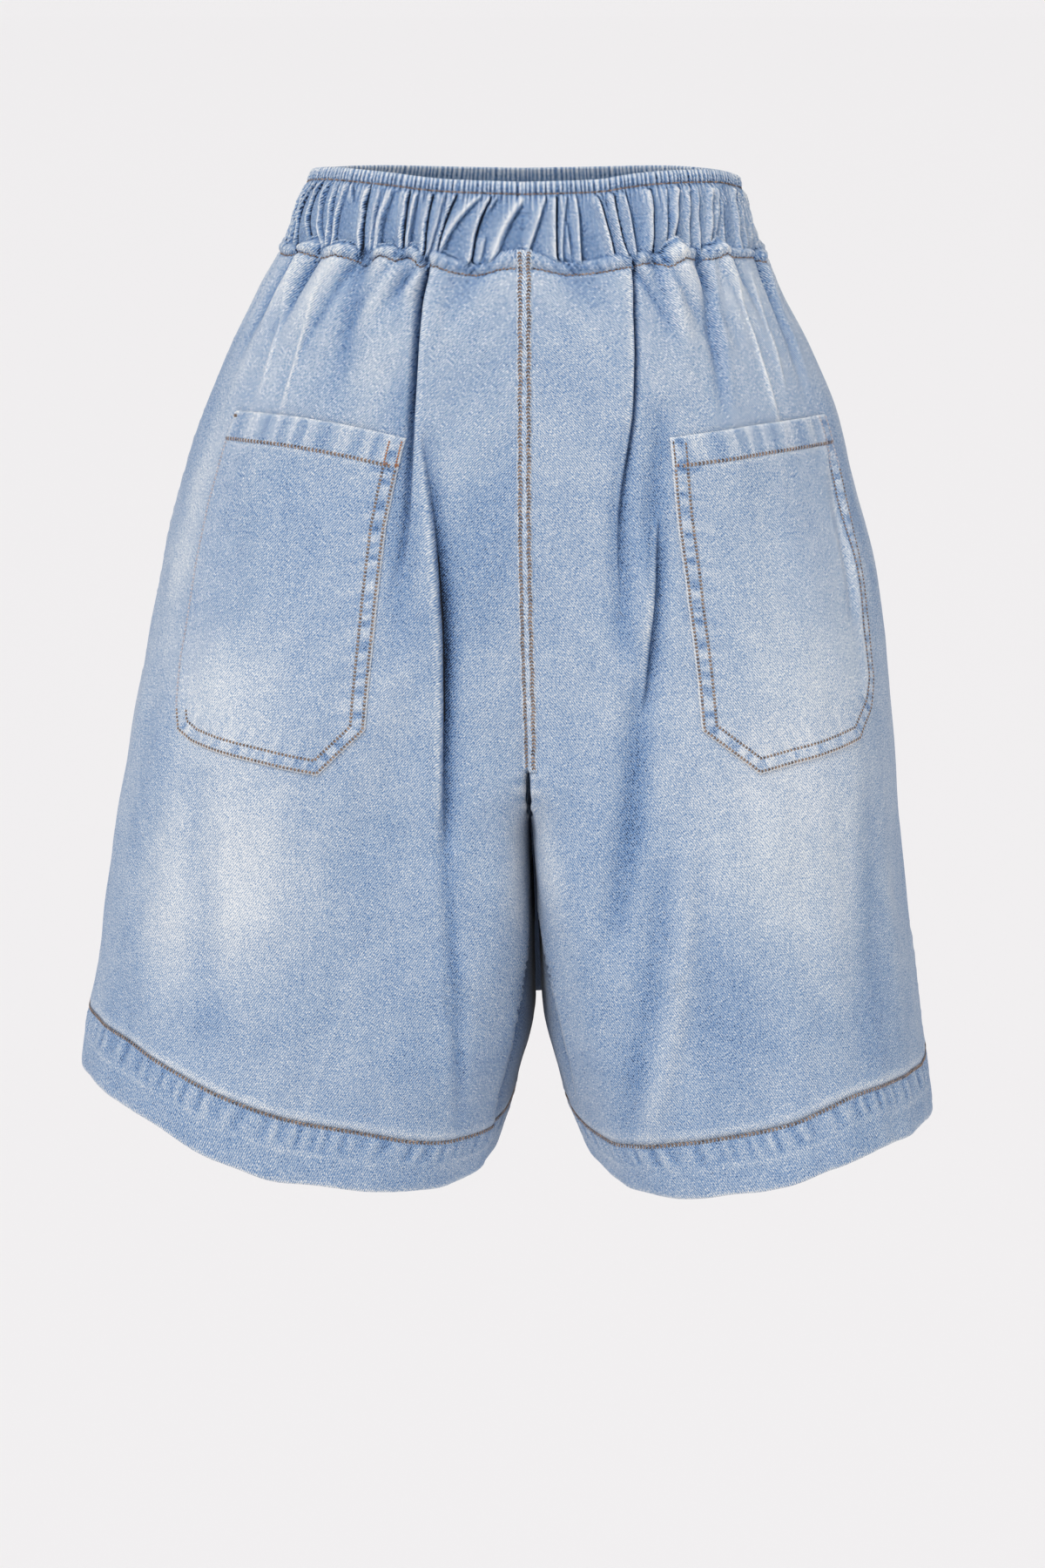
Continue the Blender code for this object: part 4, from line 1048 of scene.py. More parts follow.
# %% [markdown]
# ## Leg panels
#
# A panel of shorts is cut nearly straight at the side and curved at the crotch. Here each one is a
# grid from the roll to the hem's stitching. Solidify gives it a wall of one millimetre on the
# inside, whose faces take the wrong side of the cloth, painted dark slate as the shade inside the legs.

# %% Panels
CLOTH = 1.0
# Width and height of the cut that shows, in metres, and its area.
PANEL_CUT = {"back": (0.345, 0.575, 0.165), "front": (0.325, 0.555, 0.150)}

for quarter in QUARTERS:
    w, z = panel_places(quarter)
    move = drape(quarter, w, z)
    points, _ = lay(quarter, w, z, move.out, move.side)
    marks = {"fade": wash(quarter, w, z), "wear": move.wear, "deep": move.deep,
             "shadow": spots(SHADES, quarter, w, z)}
    bm = woven_grid(points, np.stack([w, z], -1), marks)
    face_out(bm, quarter.half)
    panel = piece(f"{quarter.name}_panel", bm, [washed_denim, shaded_inside_denim],
                  quarter.name, CLOTH)
    wide, tall, area = PANEL_CUT[quarter.name.split("_")[0]]

# %% [markdown]
# ## Hems
#
# Each hem is turned up by 28 to 40 mm and stitched round, and the cloth between stitching and fold
# pulls into slanting ropes that fade when washed. Its section is a flat closed loop: down the
# outside, round the fold and up the inside. This is carried round the leg from the panels' lower
# edge, and its depth is stretched from 30 mm to what the table of the hem's line says.

# %% Section of a hem
HEM_ROWS = table("drop out", [
    (-0.5, -0.45), (0.8, 0.05), (2.2, 0.35), (4.0, 0.45), (6.5, 0.50), (9.0, 0.50), (11.0, 0.55),
    (12.5, 0.50), (14.5, 0.45), (17.0, 0.50), (19.5, 0.50), (22.0, 0.50), (24.5, 0.50), (27.0, 0.50),
    (28.8, 0.35), (29.7, 0.00), (30.0, -0.60), (29.8, -1.30), (28.8, -1.80), (26.0, -2.05), (20.0, -2.10),
    (12.0, -2.10), (5.0, -2.10), (1.2, -2.00), (0.4, -1.60), (0.2, -0.90),
])
ROPE_PITCH, ROPE_SLANT = 10.5, 0.35
print("hem section of", len(HEM_ROWS), "points")


# %% Ropes of a hem
def hem_move(quarter, w, drop):
    """Ropes and wear of a hem, at the distance drop below its stitching."""
    seed = 60 + QUARTERS.index(quarter)
    lean = (w + ROPE_SLANT * drop) / ROPE_PITCH * TURN + 2.4 * np.sin(w * 0.071 + seed)
    rope = np.sin(lean) + 0.5 * np.sin(1.63 * lean + seed)
    upper = smooth_step(drop, 0.3, 3.0) * (1 - smooth_step(drop, 8.0, 15.0))
    patchy = 0.80 + 0.20 * np.sin(w * 0.093 + 2 * seed)
    swell = ripple(w, drop * 2.0, 26, seed + 7)
    out = 0.42 * rope * upper + 0.25 * swell * smooth_step(drop, 10, 20)
    crease = bell(drop, 14.0 + 0.8 * np.sin(w * 0.05 + seed), 0.9)
    fold_edge = bell(drop, HEM_DEPTH, 1.3)
    out = out + 0.25 * crease
    wear = 0.30 * np.maximum(rope, 0) * upper * patchy + 0.30 * crease + 0.85 * fold_edge
    deep = 0.44 * np.maximum(-rope, 0) * upper * patchy + 0.18 * bell(drop, 1.8, 1.0)
    return out, wear, deep


def hem_side(quarter):
    """Points, places, wear, deep, fade and shadow of a hem's back or front, from the side seam."""
    w, z = hem_path(quarter)
    drops, outs = [numbers(HEM_ROWS, column)[:, None] for column in ("drop", "out")]
    share = np.linspace(0, 1, HEM_STEPS + 1)
    fold_at = read(HEM_LINE, "deep_left" if quarter.half > 0 else "deep_right", share, key="share")
    settled = drape(quarter, w, z - 6.0)
    pull, wear, deep = hem_move(quarter, w, drops)
    edge_wave = 0.6 * np.sin(w * 0.12) * drops / HEM_DEPTH
    hung = z - drops * fold_at / HEM_DEPTH + edge_wave
    points, _ = lay(quarter, w, hung, settled.out + outs + pull, 0.0)
    points[:, [0, -1], 1] = 0.0
    wear, deep = [np.broadcast_to(mark, points.shape[:2]) for mark in (wear, deep)]
    return [points, np.stack(np.broadcast_arrays(w, z - drops), -1), wear, deep,
            0.25 * wash(quarter, w, z - drops) - 0.22, spots(SHADES, quarter, w, z - drops)]


# %% Hems
for half, node in ((1, "hem_left"), (-1, "hem_right")):
    back, front = [hem_side(quarter) for quarter in QUARTERS if quarter.half == half]
    front = [part[:, ::-1][:, 1:] for part in front]
    ring = [closed(np.concatenate(both, axis=1)) for both in zip(back, front)]
    points, places, *marks = ring
    bm = woven_grid(points, places, dict(zip(("wear", "deep", "fade", "shadow"), marks)), meets=True)
    face_out(bm, half)
    bmesh.ops.recalc_face_normals(bm, faces=bm.faces)
    hem = piece(f"{node}_band", bm, [washed_denim], node)

# %% [markdown]
# ## Back pockets
#
# A patch pocket is a piece of denim with its edges pressed under, two rows of stitching round it and
# a deep hem across its opening. Its grid lies on the panel's own draped shape, moved out, so it
# takes the same folds. Distances from its outline place the worn edge, the border that is double,
# and the dye that the stitching kept in blotches between its rows.

# %% Pocket outlines
# Each outline runs from the outer top end, down and round, to the centre top end. The mouth bows up
# by bow, the outer side is blotched by outer_blotch, and its thread is faded down to faded_to.
Pocket = namedtuple("Pocket", "name quarter bow outer_blotch faded_to outline")
POCKETS = [
    Pocket("pocket_left", BACK_LEFT, 4.0, 0.10, -270.0, np.array([
        (71, -106), (71, -158), (77, -207), (82, -242), (89.5, -268), (97, -283), (110, -288),
        (191, -301), (211, -275), (188.4, -163), (183, -116)])),
    Pocket("pocket_right", BACK_RIGHT, 2.0, 0.85, -140.0, np.array([
        (50, -110), (51.5, -150), (55.5, -185), (61, -226), (68.5, -258), (77, -273), (94, -288),
        (166, -300), (193, -275), (183, -205), (163, -116)])),
]
CENTRE_CORNERS, OUTER_SIDES, BOTTOM_SIDE = 4, 5, 6
POCKET_COLUMNS, POCKET_ROWS, SIDE_CROWD = 96, 130, 0.055
POCKET_CLOTH, POCKET_CLEAR = 1.0, 0.3
POCKET_HEM = 15.5
ROW_OUTER, ROW_INNER = 1.5, 8.2
print("pocket corners:", [len(pocket.outline) for pocket in POCKETS])


# %% Places on a pocket
def distances(path):
    """How far along a path each of its points is."""
    return np.concatenate([[0], np.cumsum(np.linalg.norm(np.diff(path, axis=0), axis=1))])


def values_at(values, walked, at):
    """Rows of values, which stand at the distances walked, read at other distances."""
    return np.stack([np.interp(at, walked, values[:, k]) for k in range(values.shape[1])], -1)


def along_path(path, shares):
    """Places at shares of the length of a path of corners."""
    walked = distances(path)
    return values_at(path, walked, shares * walked[-1])


def pocket_places(outline):
    """(w, z) of a pocket's grid, between its outer and its centre edge."""
    down = np.linspace(0, 1, POCKET_ROWS + 1)
    outer = along_path(outline[:-CENTRE_CORNERS], down)
    centre = along_path(outline[:-CENTRE_CORNERS - 1:-1], down)
    share = np.linspace(0, 1, POCKET_COLUMNS + 1)
    share = share - SIDE_CROWD * np.sin(2 * TURN * share) / 2
    return outer[:, None] * (1 - share)[None, :, None] + centre[:, None] * share[None, :, None]


def edge_distances(outline, places):
    """How far places are below a pocket's top line, and from each other side and along it."""
    away, along, past = [], [], []
    for start, end in zip(outline, np.roll(outline, -1, axis=0)):
        length = np.linalg.norm(end - start)
        way = (end - start) / length
        from_start = places - start
        away.append(way[0] * from_start[..., 1] - way[1] * from_start[..., 0])
        along.append(from_start @ way)
        past.append(np.maximum(np.maximum(-along[-1], along[-1] - length), 0))
    return away[-1], np.hypot(away, past)[:-1], np.array(along)[:-1]


print("round the left pocket:", round(float(distances(POCKETS[0].outline)[-1])), "mm")

# %% Relief and wear of a pocket
BLOTCH_PITCH, LADDER_PITCH, SIDE_STEP = 9.4, 3.9, 37.0


def pocket_move(pocket, places):
    """How a pocket stands off its panel, and its wash marks."""
    from_top, away, along = edge_distances(pocket.outline, places)
    side = np.argmin(away, axis=0)
    from_edge = np.take_along_axis(away, side[None], axis=0)[0]
    where = np.take_along_axis(along, side[None], axis=0)[0] + SIDE_STEP * side
    outer_side, bottom = side < OUTER_SIDES, side == BOTTOM_SIDE
    border = 1 - smooth_step(from_edge, ROW_INNER, ROW_INNER + 1.8)
    double = 1 - smooth_step(from_top, POCKET_HEM - 0.6, POCKET_HEM + 1.2)
    row_dips = bell(from_edge, ROW_OUTER, 0.7) + bell(from_edge, ROW_INNER, 0.8)
    bag = smooth_step(from_edge, 5, 45) * smooth_step(from_top, -30, 60)
    gape = bell(from_top, 0, 16) * smooth_step(from_edge, 4, 30)
    out = 0.35 * border + 0.45 * double - 0.28 * row_dips + 1.0 * bag + 1.3 * gape

    # Blotches of dye between the two rows, a smear beside them, and streaks on the mouth's hem.
    blotch = np.tanh(2.0 * np.sin(TURN * where / BLOTCH_PITCH + 1.5 * np.sin(where * 0.19)))
    blotch = blotch * (0.72 + 0.28 * np.sin(where * 0.37 + 1.0))
    between = smooth_step(from_edge, 2.0, 3.2)
    between = between * (1 - smooth_step(from_edge, ROW_INNER - 1.6, ROW_INNER - 0.4))
    between = between * np.where(outer_side, pocket.outer_blotch, np.where(bottom, 0.55, 1.0))
    smear = smooth_step(from_edge, ROW_INNER - 1, ROW_INNER + 1) * (1 - smooth_step(from_edge, 10, 26))
    smear = smear * np.where(outer_side, 0.1, 0.30) * smooth_step(from_top, POCKET_HEM, POCKET_HEM + 6)
    ladder = np.where(bottom, np.maximum(np.sin(TURN * where / LADDER_PITCH), 0) ** 3, 0.0)
    streak = np.sin(places[..., 0] * 0.44 + 1.6 * np.sin(places[..., 0] * 0.11))
    streak = 0.8 * streak + 0.3 * np.sin(places[..., 0] * 1.3)
    pale, dark = np.maximum(blotch, 0), np.maximum(-blotch, 0)
    out = out + 0.28 * blotch * between - 0.35 * bell(from_top, POCKET_HEM, 0.9)
    out = out - 0.9 * bell(from_edge, 0, 0.8) - 0.5 * bell(from_top, 0, 0.7) + 0.16 * double * streak

    wear = np.where(outer_side, 0.30, 1.10) * bell(from_edge, 0.0, 0.8) + 0.60 * bell(from_top, 0.0, 1.0)
    wear = wear + between * (0.04 + 0.34 * pale) + 0.6 * smear * pale
    wear = wear + double * (0.04 + 0.42 * np.maximum(streak, 0) ** 1.5)
    wear = wear + 0.30 * bell(from_top, POCKET_HEM + 2.4, 1.0)
    deep = between * (0.85 * dark + 0.8 * ladder) + 0.38 * double * np.maximum(-streak, 0)
    deep = deep + 0.6 * smear * dark
    # Painted shadow under the mouth's hem near its centre end.
    near_end = (1 - smooth_step(from_edge, 13, 19)) * ~outer_side
    deep = deep + 1.25 * bell(from_top, POCKET_HEM + 2.7, 0.9) * near_end

    # The cloth bunches up inside the inner row of the blotched outer side, with painted shade at the row.
    bunched = np.where(outer_side, pocket.outer_blotch, 0.0) * smooth_step(from_top, 4, 20)
    out = out + 1.2 * bunched * bell(from_edge, ROW_INNER + 3.5, 3.0)
    wear = wear + 0.40 * bunched * bell(from_edge, ROW_INNER + 3.0, 1.7)
    deep = deep + 0.75 * bunched * bell(from_edge, ROW_INNER + 0.4, 0.8)
    return out, wear, deep


# %% Pockets
BOW_FROM, BOW_TO = -180, -115


def bowed(pocket, places):
    """Places of a pocket, moved up where its mouth arches between its ends."""
    first, last = pocket.outline[0, 0], pocket.outline[-1, 0]
    share = np.clip((places[..., 0] - first) / (last - first), 0, 1)
    lift = pocket.bow * 4 * share * (1 - share) * smooth_step(places[..., 1], BOW_FROM, BOW_TO)
    return np.stack([places[..., 0], places[..., 1] + lift], -1)


def on_pocket(pocket, places, out=0.0):
    """Points on a pocket's outer face and the way out of it."""
    stand = POCKET_CLEAR + POCKET_CLOTH + pocket_move(pocket, places)[0] + out
    hung = bowed(pocket, places)
    return on_panel(pocket.quarter, hung[..., 0], hung[..., 1], stand)


for pocket in POCKETS:
    places = pocket_places(pocket.outline)
    _, wear, deep = pocket_move(pocket, places)
    points, _ = on_pocket(pocket, places)
    fade = wash(pocket.quarter, places[..., 0], places[..., 1])
    bm = woven_grid(points, places, {"fade": fade, "wear": wear, "deep": deep})
    face_out(bm, pocket.quarter.half)
    patch = piece(f"{pocket.name}_patch", bm, [washed_denim], pocket.name, POCKET_CLOTH)

# %% [markdown]
# ## Felled centre seams
#
# The two halves are joined by a felled seam: one allowance is wrapped round the other and both are
# stitched flat, which leaves a narrow raised strip with two rows of stitching. It is a strip of its
# own here, laid over the meeting edges of the panels from the roll down to the fork.

# %% Section of a fell
FELL_ROWS_AT = (1.2, -3.1)
FELL_OUT, FELL_LIFT, FELL_CLOTH = 0.75, 0.1, 0.8
FELL_TOP, FELL_STEP, FELL_FINE_TO, FELL_FINE_STEP = -15.6, 1.8, -27.0, 0.9
FELL_PUCKER = 6.5
FELL_SECTION = table("x lift", [
    (3.2, -0.55), (2.8, 0.55), (2.1, 0.85), (1.2, 0.60), (0.4, 0.90), (-0.4, 0.95), (-1.2, 0.95),
    (-2.1, 0.90), (-3.1, 0.60), (-4.0, 0.85), (-4.6, 0.55), (-5.0, -0.55),
])


def on_fell(face, x, z, out=0.0):
    """Points of the centre seam of the back (face 1) or the front (-1), at x from the middle."""
    x, z = np.broadcast_arrays(np.asarray(x, float), np.asarray(z, float))
    points, outward = np.zeros((*x.shape, 3)), np.zeros((*x.shape, 3))
    for quarter in QUARTERS:
        if quarter.face == face:
            mine = x >= 0 if quarter.half > 0 else x < 0
            w = cloth_width(quarter, z[mine]) - np.abs(x[mine])
            lifted = np.broadcast_to(out, x.shape)[mine]
            points[mine], outward[mine] = on_panel(quarter, w, z[mine], lifted)
    return points, outward


print("fell", round(FELL_SECTION[0].x - FELL_SECTION[-1].x, 1), "mm wide")

# %% Felled seams
across, lift = numbers(FELL_SECTION, "x"), numbers(FELL_SECTION, "lift") + FELL_LIFT
heights = np.concatenate([np.arange(FELL_TOP, FELL_FINE_TO, -FELL_FINE_STEP),
                          np.arange(FELL_FINE_TO, FORK + 1.0, -FELL_STEP)])[:, None]
roping = np.sin(TURN * heights / FELL_PUCKER + 0.8 * np.sin(heights * 0.09))
for face, name in ((1, "back_fell"), (-1, "front_fell")):
    points, _ = on_fell(face, across, heights, lift * FELL_OUT + 0.10 * roping * (lift > 0))
    wear = 0.22 + 0.10 * roping + 0.14 * bell(across, 2.8, 0.7) + 0.14 * bell(across, -4.6, 0.7)
    sewn = sum(bell(across, row, 0.8) for row in FELL_ROWS_AT)
    deep = 0.22 * sewn + 0.10 * np.maximum(-roping, 0)
    marks = {"fade": 0.0 * points[..., 0], "wear": wear, "deep": deep}
    bm = woven_grid(points, np.stack(np.broadcast_arrays(across, heights), -1), marks)
    bm.normal_update()
    if sum(f.normal.y for f in bm.faces) * face < 0:
        bmesh.ops.reverse_faces(bm, faces=bm.faces)
    fell = piece(name, bm, [washed_denim], None, FELL_CLOTH)

# %% [markdown]
# ## Waistband
#
# The casing of an elastic waist is gathered to about three quarters of its length. It stands in
# narrow pinched ridges, pale on their crests, with flat hollows between them that keep their dye,
# and above its second stitching a header of fine ribs stands free. Each ridge is a curve through
# three charted points, with its own half width to either side and a gap at its steep side. Painted
# shade darkens the gap and a streak beside it, and a painted highlight pales the ridge's other slope.

# %% Ridge table
def plain_ridges(seed, number=23, pitch=7.7):
    """Evenly spaced ridges that lean by chance, for the front."""
    dice = np.random.default_rng(seed)
    rows = []
    for k in range(number):
        top = 5.0 + pitch * k + dice.uniform(-1.6, 1.6)
        low = top + dice.uniform(0.0, 7.0) * (1 if k < 18 else 0.3)
        middle = (top + low) / 2 + dice.uniform(-1.5, 1.5)
        rows.append((top, 15.0, middle, -1.0, low, -17.0, dice.uniform(1.4, 2.6),
                     dice.uniform(1.4, 3.4), dice.uniform(1.7, 2.8), dice.choice([0.0, 1.8, -1.8])))
    return rows


RIDGES = tables("top_w top_z mid_w mid_z low_w low_z near far high gap", {
    "back_left": [
        (8, 16, 8.5, 0, 9, -16, 2.2, 2.2, 1.6, 0), (15.5, 16, 16, 0, 15, -16, 2, 2, 1.8, 1.6),
        (22, 16, 22.5, 0, 21, -16, 1.8, 1.8, 1.6, 0), (29.7, 15.5, 28.8, 0.5, 27.9, -14.5, 2, 2, 1.8, 0),
        (38.1, 16.5, 31.5, 2.5, 40.6, -15.5, 1.8, 1.8, 2, 2),
        (47, 17.5, 44.3, 7.5, 54.9, -11.5, 1.8, 1.6, 2.2, 2.4),
        (55, 17.5, 57, 2.5, 67.9, -13.5, 1.8, 2.6, 2.2, 0),
        (61.2, 18.5, 66.5, 3.5, 73.3, -16.5, 1.5, 1.6, 2, 0),
        (70, 18.5, 72, 5, 77.5, -15.5, 1.4, 1.7, 2, 0), (73.6, 17.5, 77, 12.5, 79.6, 8.5, 1.2, 1.2, 1.2, 0),
        (84.6, 19.5, 89.3, 3.5, 95.6, -14.5, 2.4, 1.4, 3, 2.6),
        (93.4, 18.5, 96.8, 4, 103.2, -16.5, 1.4, 1.5, 2, 0),
        (99.7, 17.5, 100.6, 3.5, 105.2, -15.5, 1.5, 5, 2.2, 0),
        (109.3, 15.5, 115, 0, 120, -15.5, 2.6, 1.2, 2.8, 2.8),
        (114.7, 15.5, 118.4, 2.5, 123.6, -15.5, 1.2, 2.6, 2.2, 0),
        (118.4, 15.5, 119.4, 12.5, 120.4, 9.5, 1.1, 1.1, 1, 0),
        (122.7, 15.5, 127.2, 0, 132.2, -15.5, 2.2, 1.2, 2.6, 2.4),
        (129.5, 14.5, 134, 0, 136, -15.5, 1.4, 1.4, 2, 0),
        (136, 13.5, 137.3, -0.5, 139.6, -15.5, 1.4, 1.2, 2.4, 2.6),
        (149.4, 12.5, 143.4, -2, 141.6, -15.5, 3, 4.4, 2.4, 0),
        (155.5, 12.5, 156.1, -1, 159.8, -19.5, 2.4, 1.4, 2.8, 1.6),
        (159.5, 12.5, 159.3, 8, 159.1, 4.5, 1.2, 1.2, 1, 0),
        (163.6, -10, 164.7, -16, 165.8, -21.5, 1.8, 1.8, 1.2, 0),
        (173.1, 12.5, 171, -1.5, 171.5, -19.5, 2, 6, 2.6, 0),
    ],
    "back_right": [
        (8, 14, 8.5, 0, 9.5, -18, 2.2, 2.2, 1.6, 0), (16, 14, 16.5, 0, 18, -18, 2, 2, 1.8, -1.6),
        (24, 14, 22.5, 0, 27, -18, 1.8, 1.8, 1.8, 0), (34.6, 9.5, 29, -2.5, 38.3, -16.5, 1.8, 1.8, 2, -1.8),
        (40.6, 11.5, 38.9, -1.5, 46.8, -16.5, 1.6, 1.8, 2, 0),
        (41.9, 12.5, 47.6, -1.5, 55.1, -17.5, 1.8, 2, 2.2, -1.6),
        (55, 14.5, 54, 10, 53.2, 6.5, 1.2, 1.2, 1.2, 0), (60.5, 3.5, 65, -7, 70.1, -17.5, 1.4, 1.4, 1.6, 0),
        (57.1, 16.5, 67, -0.5, 74.7, -11.5, 1.5, 1.5, 1.8, 0),
        (64, 16.5, 71.3, 1.5, 80.4, -15.5, 1.6, 2, 2.2, -1.6),
        (74.7, 17.5, 82.1, -0.5, 87.9, -15.5, 1.6, 1.8, 2.2, 0),
        (80, 18.5, 88.5, 0, 96.2, -16.5, 1.5, 1.8, 2, -1.6),
        (89.3, 15.5, 97, 0.5, 106.6, -15.5, 2.4, 2.4, 2.8, -2),
        (95.9, 15.5, 101.8, 0.5, 107.8, -12.5, 1.2, 1.2, 1.4, 0),
        (106, 16.5, 111, 0.5, 119.6, -17.5, 1.4, 4.2, 2.6, -2.4),
        (120.5, 15.5, 123, 0, 127.7, -17.5, 1.5, 1.6, 2, 0),
        (126.6, 14.5, 130.7, 0, 133.4, -17.5, 1.3, 2.4, 2.6, -2.4),
        (132.7, 14.5, 133.2, 10, 133.6, 6.5, 1.1, 1.1, 1, 0),
        (135.9, 13.5, 137.5, -1.5, 140.6, -18.5, 1.3, 2.6, 2.8, -2.4),
        (147.4, 11.5, 152.4, -3.5, 159.1, -20.5, 1.8, 2.2, 2.2, 0),
        (158.4, -2.5, 161, -11, 163.2, -18.5, 1.2, 1.2, 1.4, 0),
        (152.7, 11.5, 160.2, -2.5, 168.7, -20.5, 1.4, 1.5, 1.8, 0),
        (158.8, 11.5, 165, -2.5, 171.4, -18, 1.4, 3, 2.8, -2),
        (164.1, 11.5, 171.5, 1.5, 182.3, -12.5, 2, 4, 2.4, 0),
    ],
    "front_left": plain_ridges(21),
    "front_right": plain_ridges(34),
})
print("ridges:", {name: len(rows) for name, rows in RIDGES.items()})

# %% Header and ridges
HEADER_SEAM = 13.5
LONG_RIDGE = 20.0
RIB_RUN = 2.7


def three_point(ridge, z):
    """The crest of a ridge at heights z, on the parabola through its three points."""
    z = np.clip(z, ridge.low_z - 3, ridge.top_z + 3)
    a, b, c = (ridge.top_z, ridge.top_w), (ridge.mid_z, ridge.mid_w), (ridge.low_z, ridge.low_w)
    first = a[1] * (z - b[0]) * (z - c[0]) / (a[0] - b[0]) / (a[0] - c[0])
    second = b[1] * (z - a[0]) * (z - c[0]) / (b[0] - a[0]) / (b[0] - c[0])
    third = c[1] * (z - a[0]) * (z - b[0]) / (c[0] - a[0]) / (c[0] - b[0])
    return first + second + third


def header_ribs(quarter, w, z):
    """The fine ribs of the header: -1 in their hollows and 1 on their crests."""
    seed = QUARTERS.index(quarter)
    upright = w / cloth_width(quarter, z) * cloth_width(quarter, HEADER_SEAM)
    phase = TURN * upright / RIB_RUN + 1.5 * np.sin(upright * 0.21 + seed)
    phase = phase + 0.9 * np.sin(upright * 0.57 + 2 * seed)
    uneven = 0.75 + 0.25 * np.sin(upright * 0.9 + seed)
    return np.sin(phase) * uneven + 0.25 * np.sin(1.7 * phase + seed)


def ridge_way(quarter, ridge):
    """Which side of a ridge its gap and painted shade are on: the centre side as charted, or the table's
    sign.
    """
    if ridge.gap:
        return np.sign(ridge.gap)
    return 1.0 if quarter.half > 0 else -1.0


print("header ribs", RIB_RUN, "mm apart")

# %% Reach of a ridge
SHORT_TOP, SHORT_FOOT = (-1, 3), (-3, 2)


def ridge_reach(ridge, height):
    """1 where a ridge stands, and 0 above and below a short one."""
    if ridge.top_z - ridge.low_z >= LONG_RIDGE:
        return 1.0
    reach = smooth_step(height, *(ridge.low_z + step for step in SHORT_FOOT))
    return reach * (1 - smooth_step(height, *(ridge.top_z + step for step in SHORT_TOP)))


# %% Shape of the band
# Shares of a ridge's half width that its steep and its sloping side take up.
STEEP, SLOPING = 0.62, 1.15
# Where the gap and the streak of painted shade lie beside a ridge's steep side, and how far the painted
# highlight reaches along its sloping side.
GAP_AT, GAP_WIDE = 0.75, 0.62
SHADE_STREAK_AT, SHADE_STREAK_WIDE = 1.1, 1.2
BAND_LIT_SLOPE, LIT_SLOPE_REACH = 0.56, 4.2


def band_move(quarter, w, z):
    """Ridges, gaps and ribs of the waistband at (w, z)."""
    w, z = np.broadcast_arrays(np.asarray(w, float), np.asarray(z, float))
    height = z + waist_rise(quarter, w, z)
    crest, gaps, side, pale, shade = (np.zeros(w.shape) for _ in range(5))
    for index, ridge in enumerate(RIDGES[quarter.name]):
        away = w - three_point(ridge, height)
        half_width = np.where(away < 0, ridge.near, ridge.far)
        way = ridge_way(quarter, ridge)
        steep = way * away > 0
        reached = np.clip(np.abs(away) / np.where(steep, STEEP, SLOPING) / half_width, 0, 1)
        shape = np.where(steep, (1 - reached**4) ** 0.8, (1 - reached**1.3) ** 1.1)
        reach = ridge_reach(ridge, height)
        uneven = 1 + 0.22 * np.sin(height * 0.35 + 1.7 * index)
        crest = np.maximum(crest, ridge.high * shape * reach * uneven)
        # A painted highlight on the sloping side of each ridge, where the light falls, and painted shade in
        # the gap and the streak beside its steep side.
        slope = np.where(steep, 0.0, BAND_LIT_SLOPE * np.exp(-np.abs(away) / LIT_SLOPE_REACH))
        pale = np.maximum(pale, np.maximum(shape**4 * (0.66 + 0.14 * ridge.high), slope) * reach)
        beside = bell(way * away, STEEP * half_width + GAP_AT, GAP_WIDE) * reach
        gaps = gaps + (0.6 + 0.9 * abs(ridge.gap)) * beside
        streak = bell(way * away, STEEP * half_width + SHADE_STREAK_AT, SHADE_STREAK_WIDE) * reach
        shade = np.maximum(shade, (0.50 + 0.20 * abs(ridge.gap)) * streak)
        side = side + way * (0.35 + 0.25 * abs(ridge.gap)) * bell(way * away, 0.5, 0.9) * reach
    in_band = 1 - smooth_step(z, HEADER_SEAM - 3.5, HEADER_SEAM - 0.5)
    edge, _ = roll_lines(quarter, w)
    tucked = smooth_step(edge - z, 0.5, 5.0)
    ribs = header_ribs(quarter, w, z)
    rib_foot = HEADER_SEAM - 12.0 - 6.0 * np.sin(w * 0.53 + 1.3 * np.sin(w * 0.17))
    rib_part = smooth_step(z, rib_foot, HEADER_SEAM - 0.5) * 0.7
    header_part = 0.7 + 0.3 * smooth_step(z, HEADER_SEAM, HEADER_SEAM + 2)
    rib_part = np.where(z > HEADER_SEAM, header_part, rib_part)
    seam = bell(z, HEADER_SEAM, 0.9)
    swell = 0.35 * ripple(w, z, 17, 70 + QUARTERS.index(quarter), 2.5)
    out = (crest - gaps + swell) * in_band * (1 - 0.35 * tucked) + 0.62 * ribs * rib_part - 0.8 * seam
    out = out - 0.35 - 1.9 * tucked + 0.3 * smooth_step(z, HEADER_SEAM, HEADER_SEAM + 3)
    wear = in_band * pale * 1.42 + rib_part * 1.15 * np.clip(ribs + 0.30, 0, 1)
    wear = wear + 0.55 * smooth_step(z, BAND_TOP - 3.0, BAND_TOP)
    deep = in_band * (0.70 * gaps + shade) + rib_part * 0.85 * np.clip(-ribs - 0.05, 0, 1) + 0.3 * seam
    # Painted shadow in the crevice where the band runs behind the roll's upper edge.
    deep = deep + 0.9 * smooth_step(edge - z, -1.6, 0.6) + 0.25 * in_band * np.maximum(swell, 0)
    return Move(out, side * in_band, wear, deep)


print("band ready, with its header above", HEADER_SEAM)

# %% [markdown]
# The band is one closed sheet: up the ridged outside, over the header's folded top and down the plain
# inside, and back to its lower edge behind the roll. That makes a grid which closes both ways.

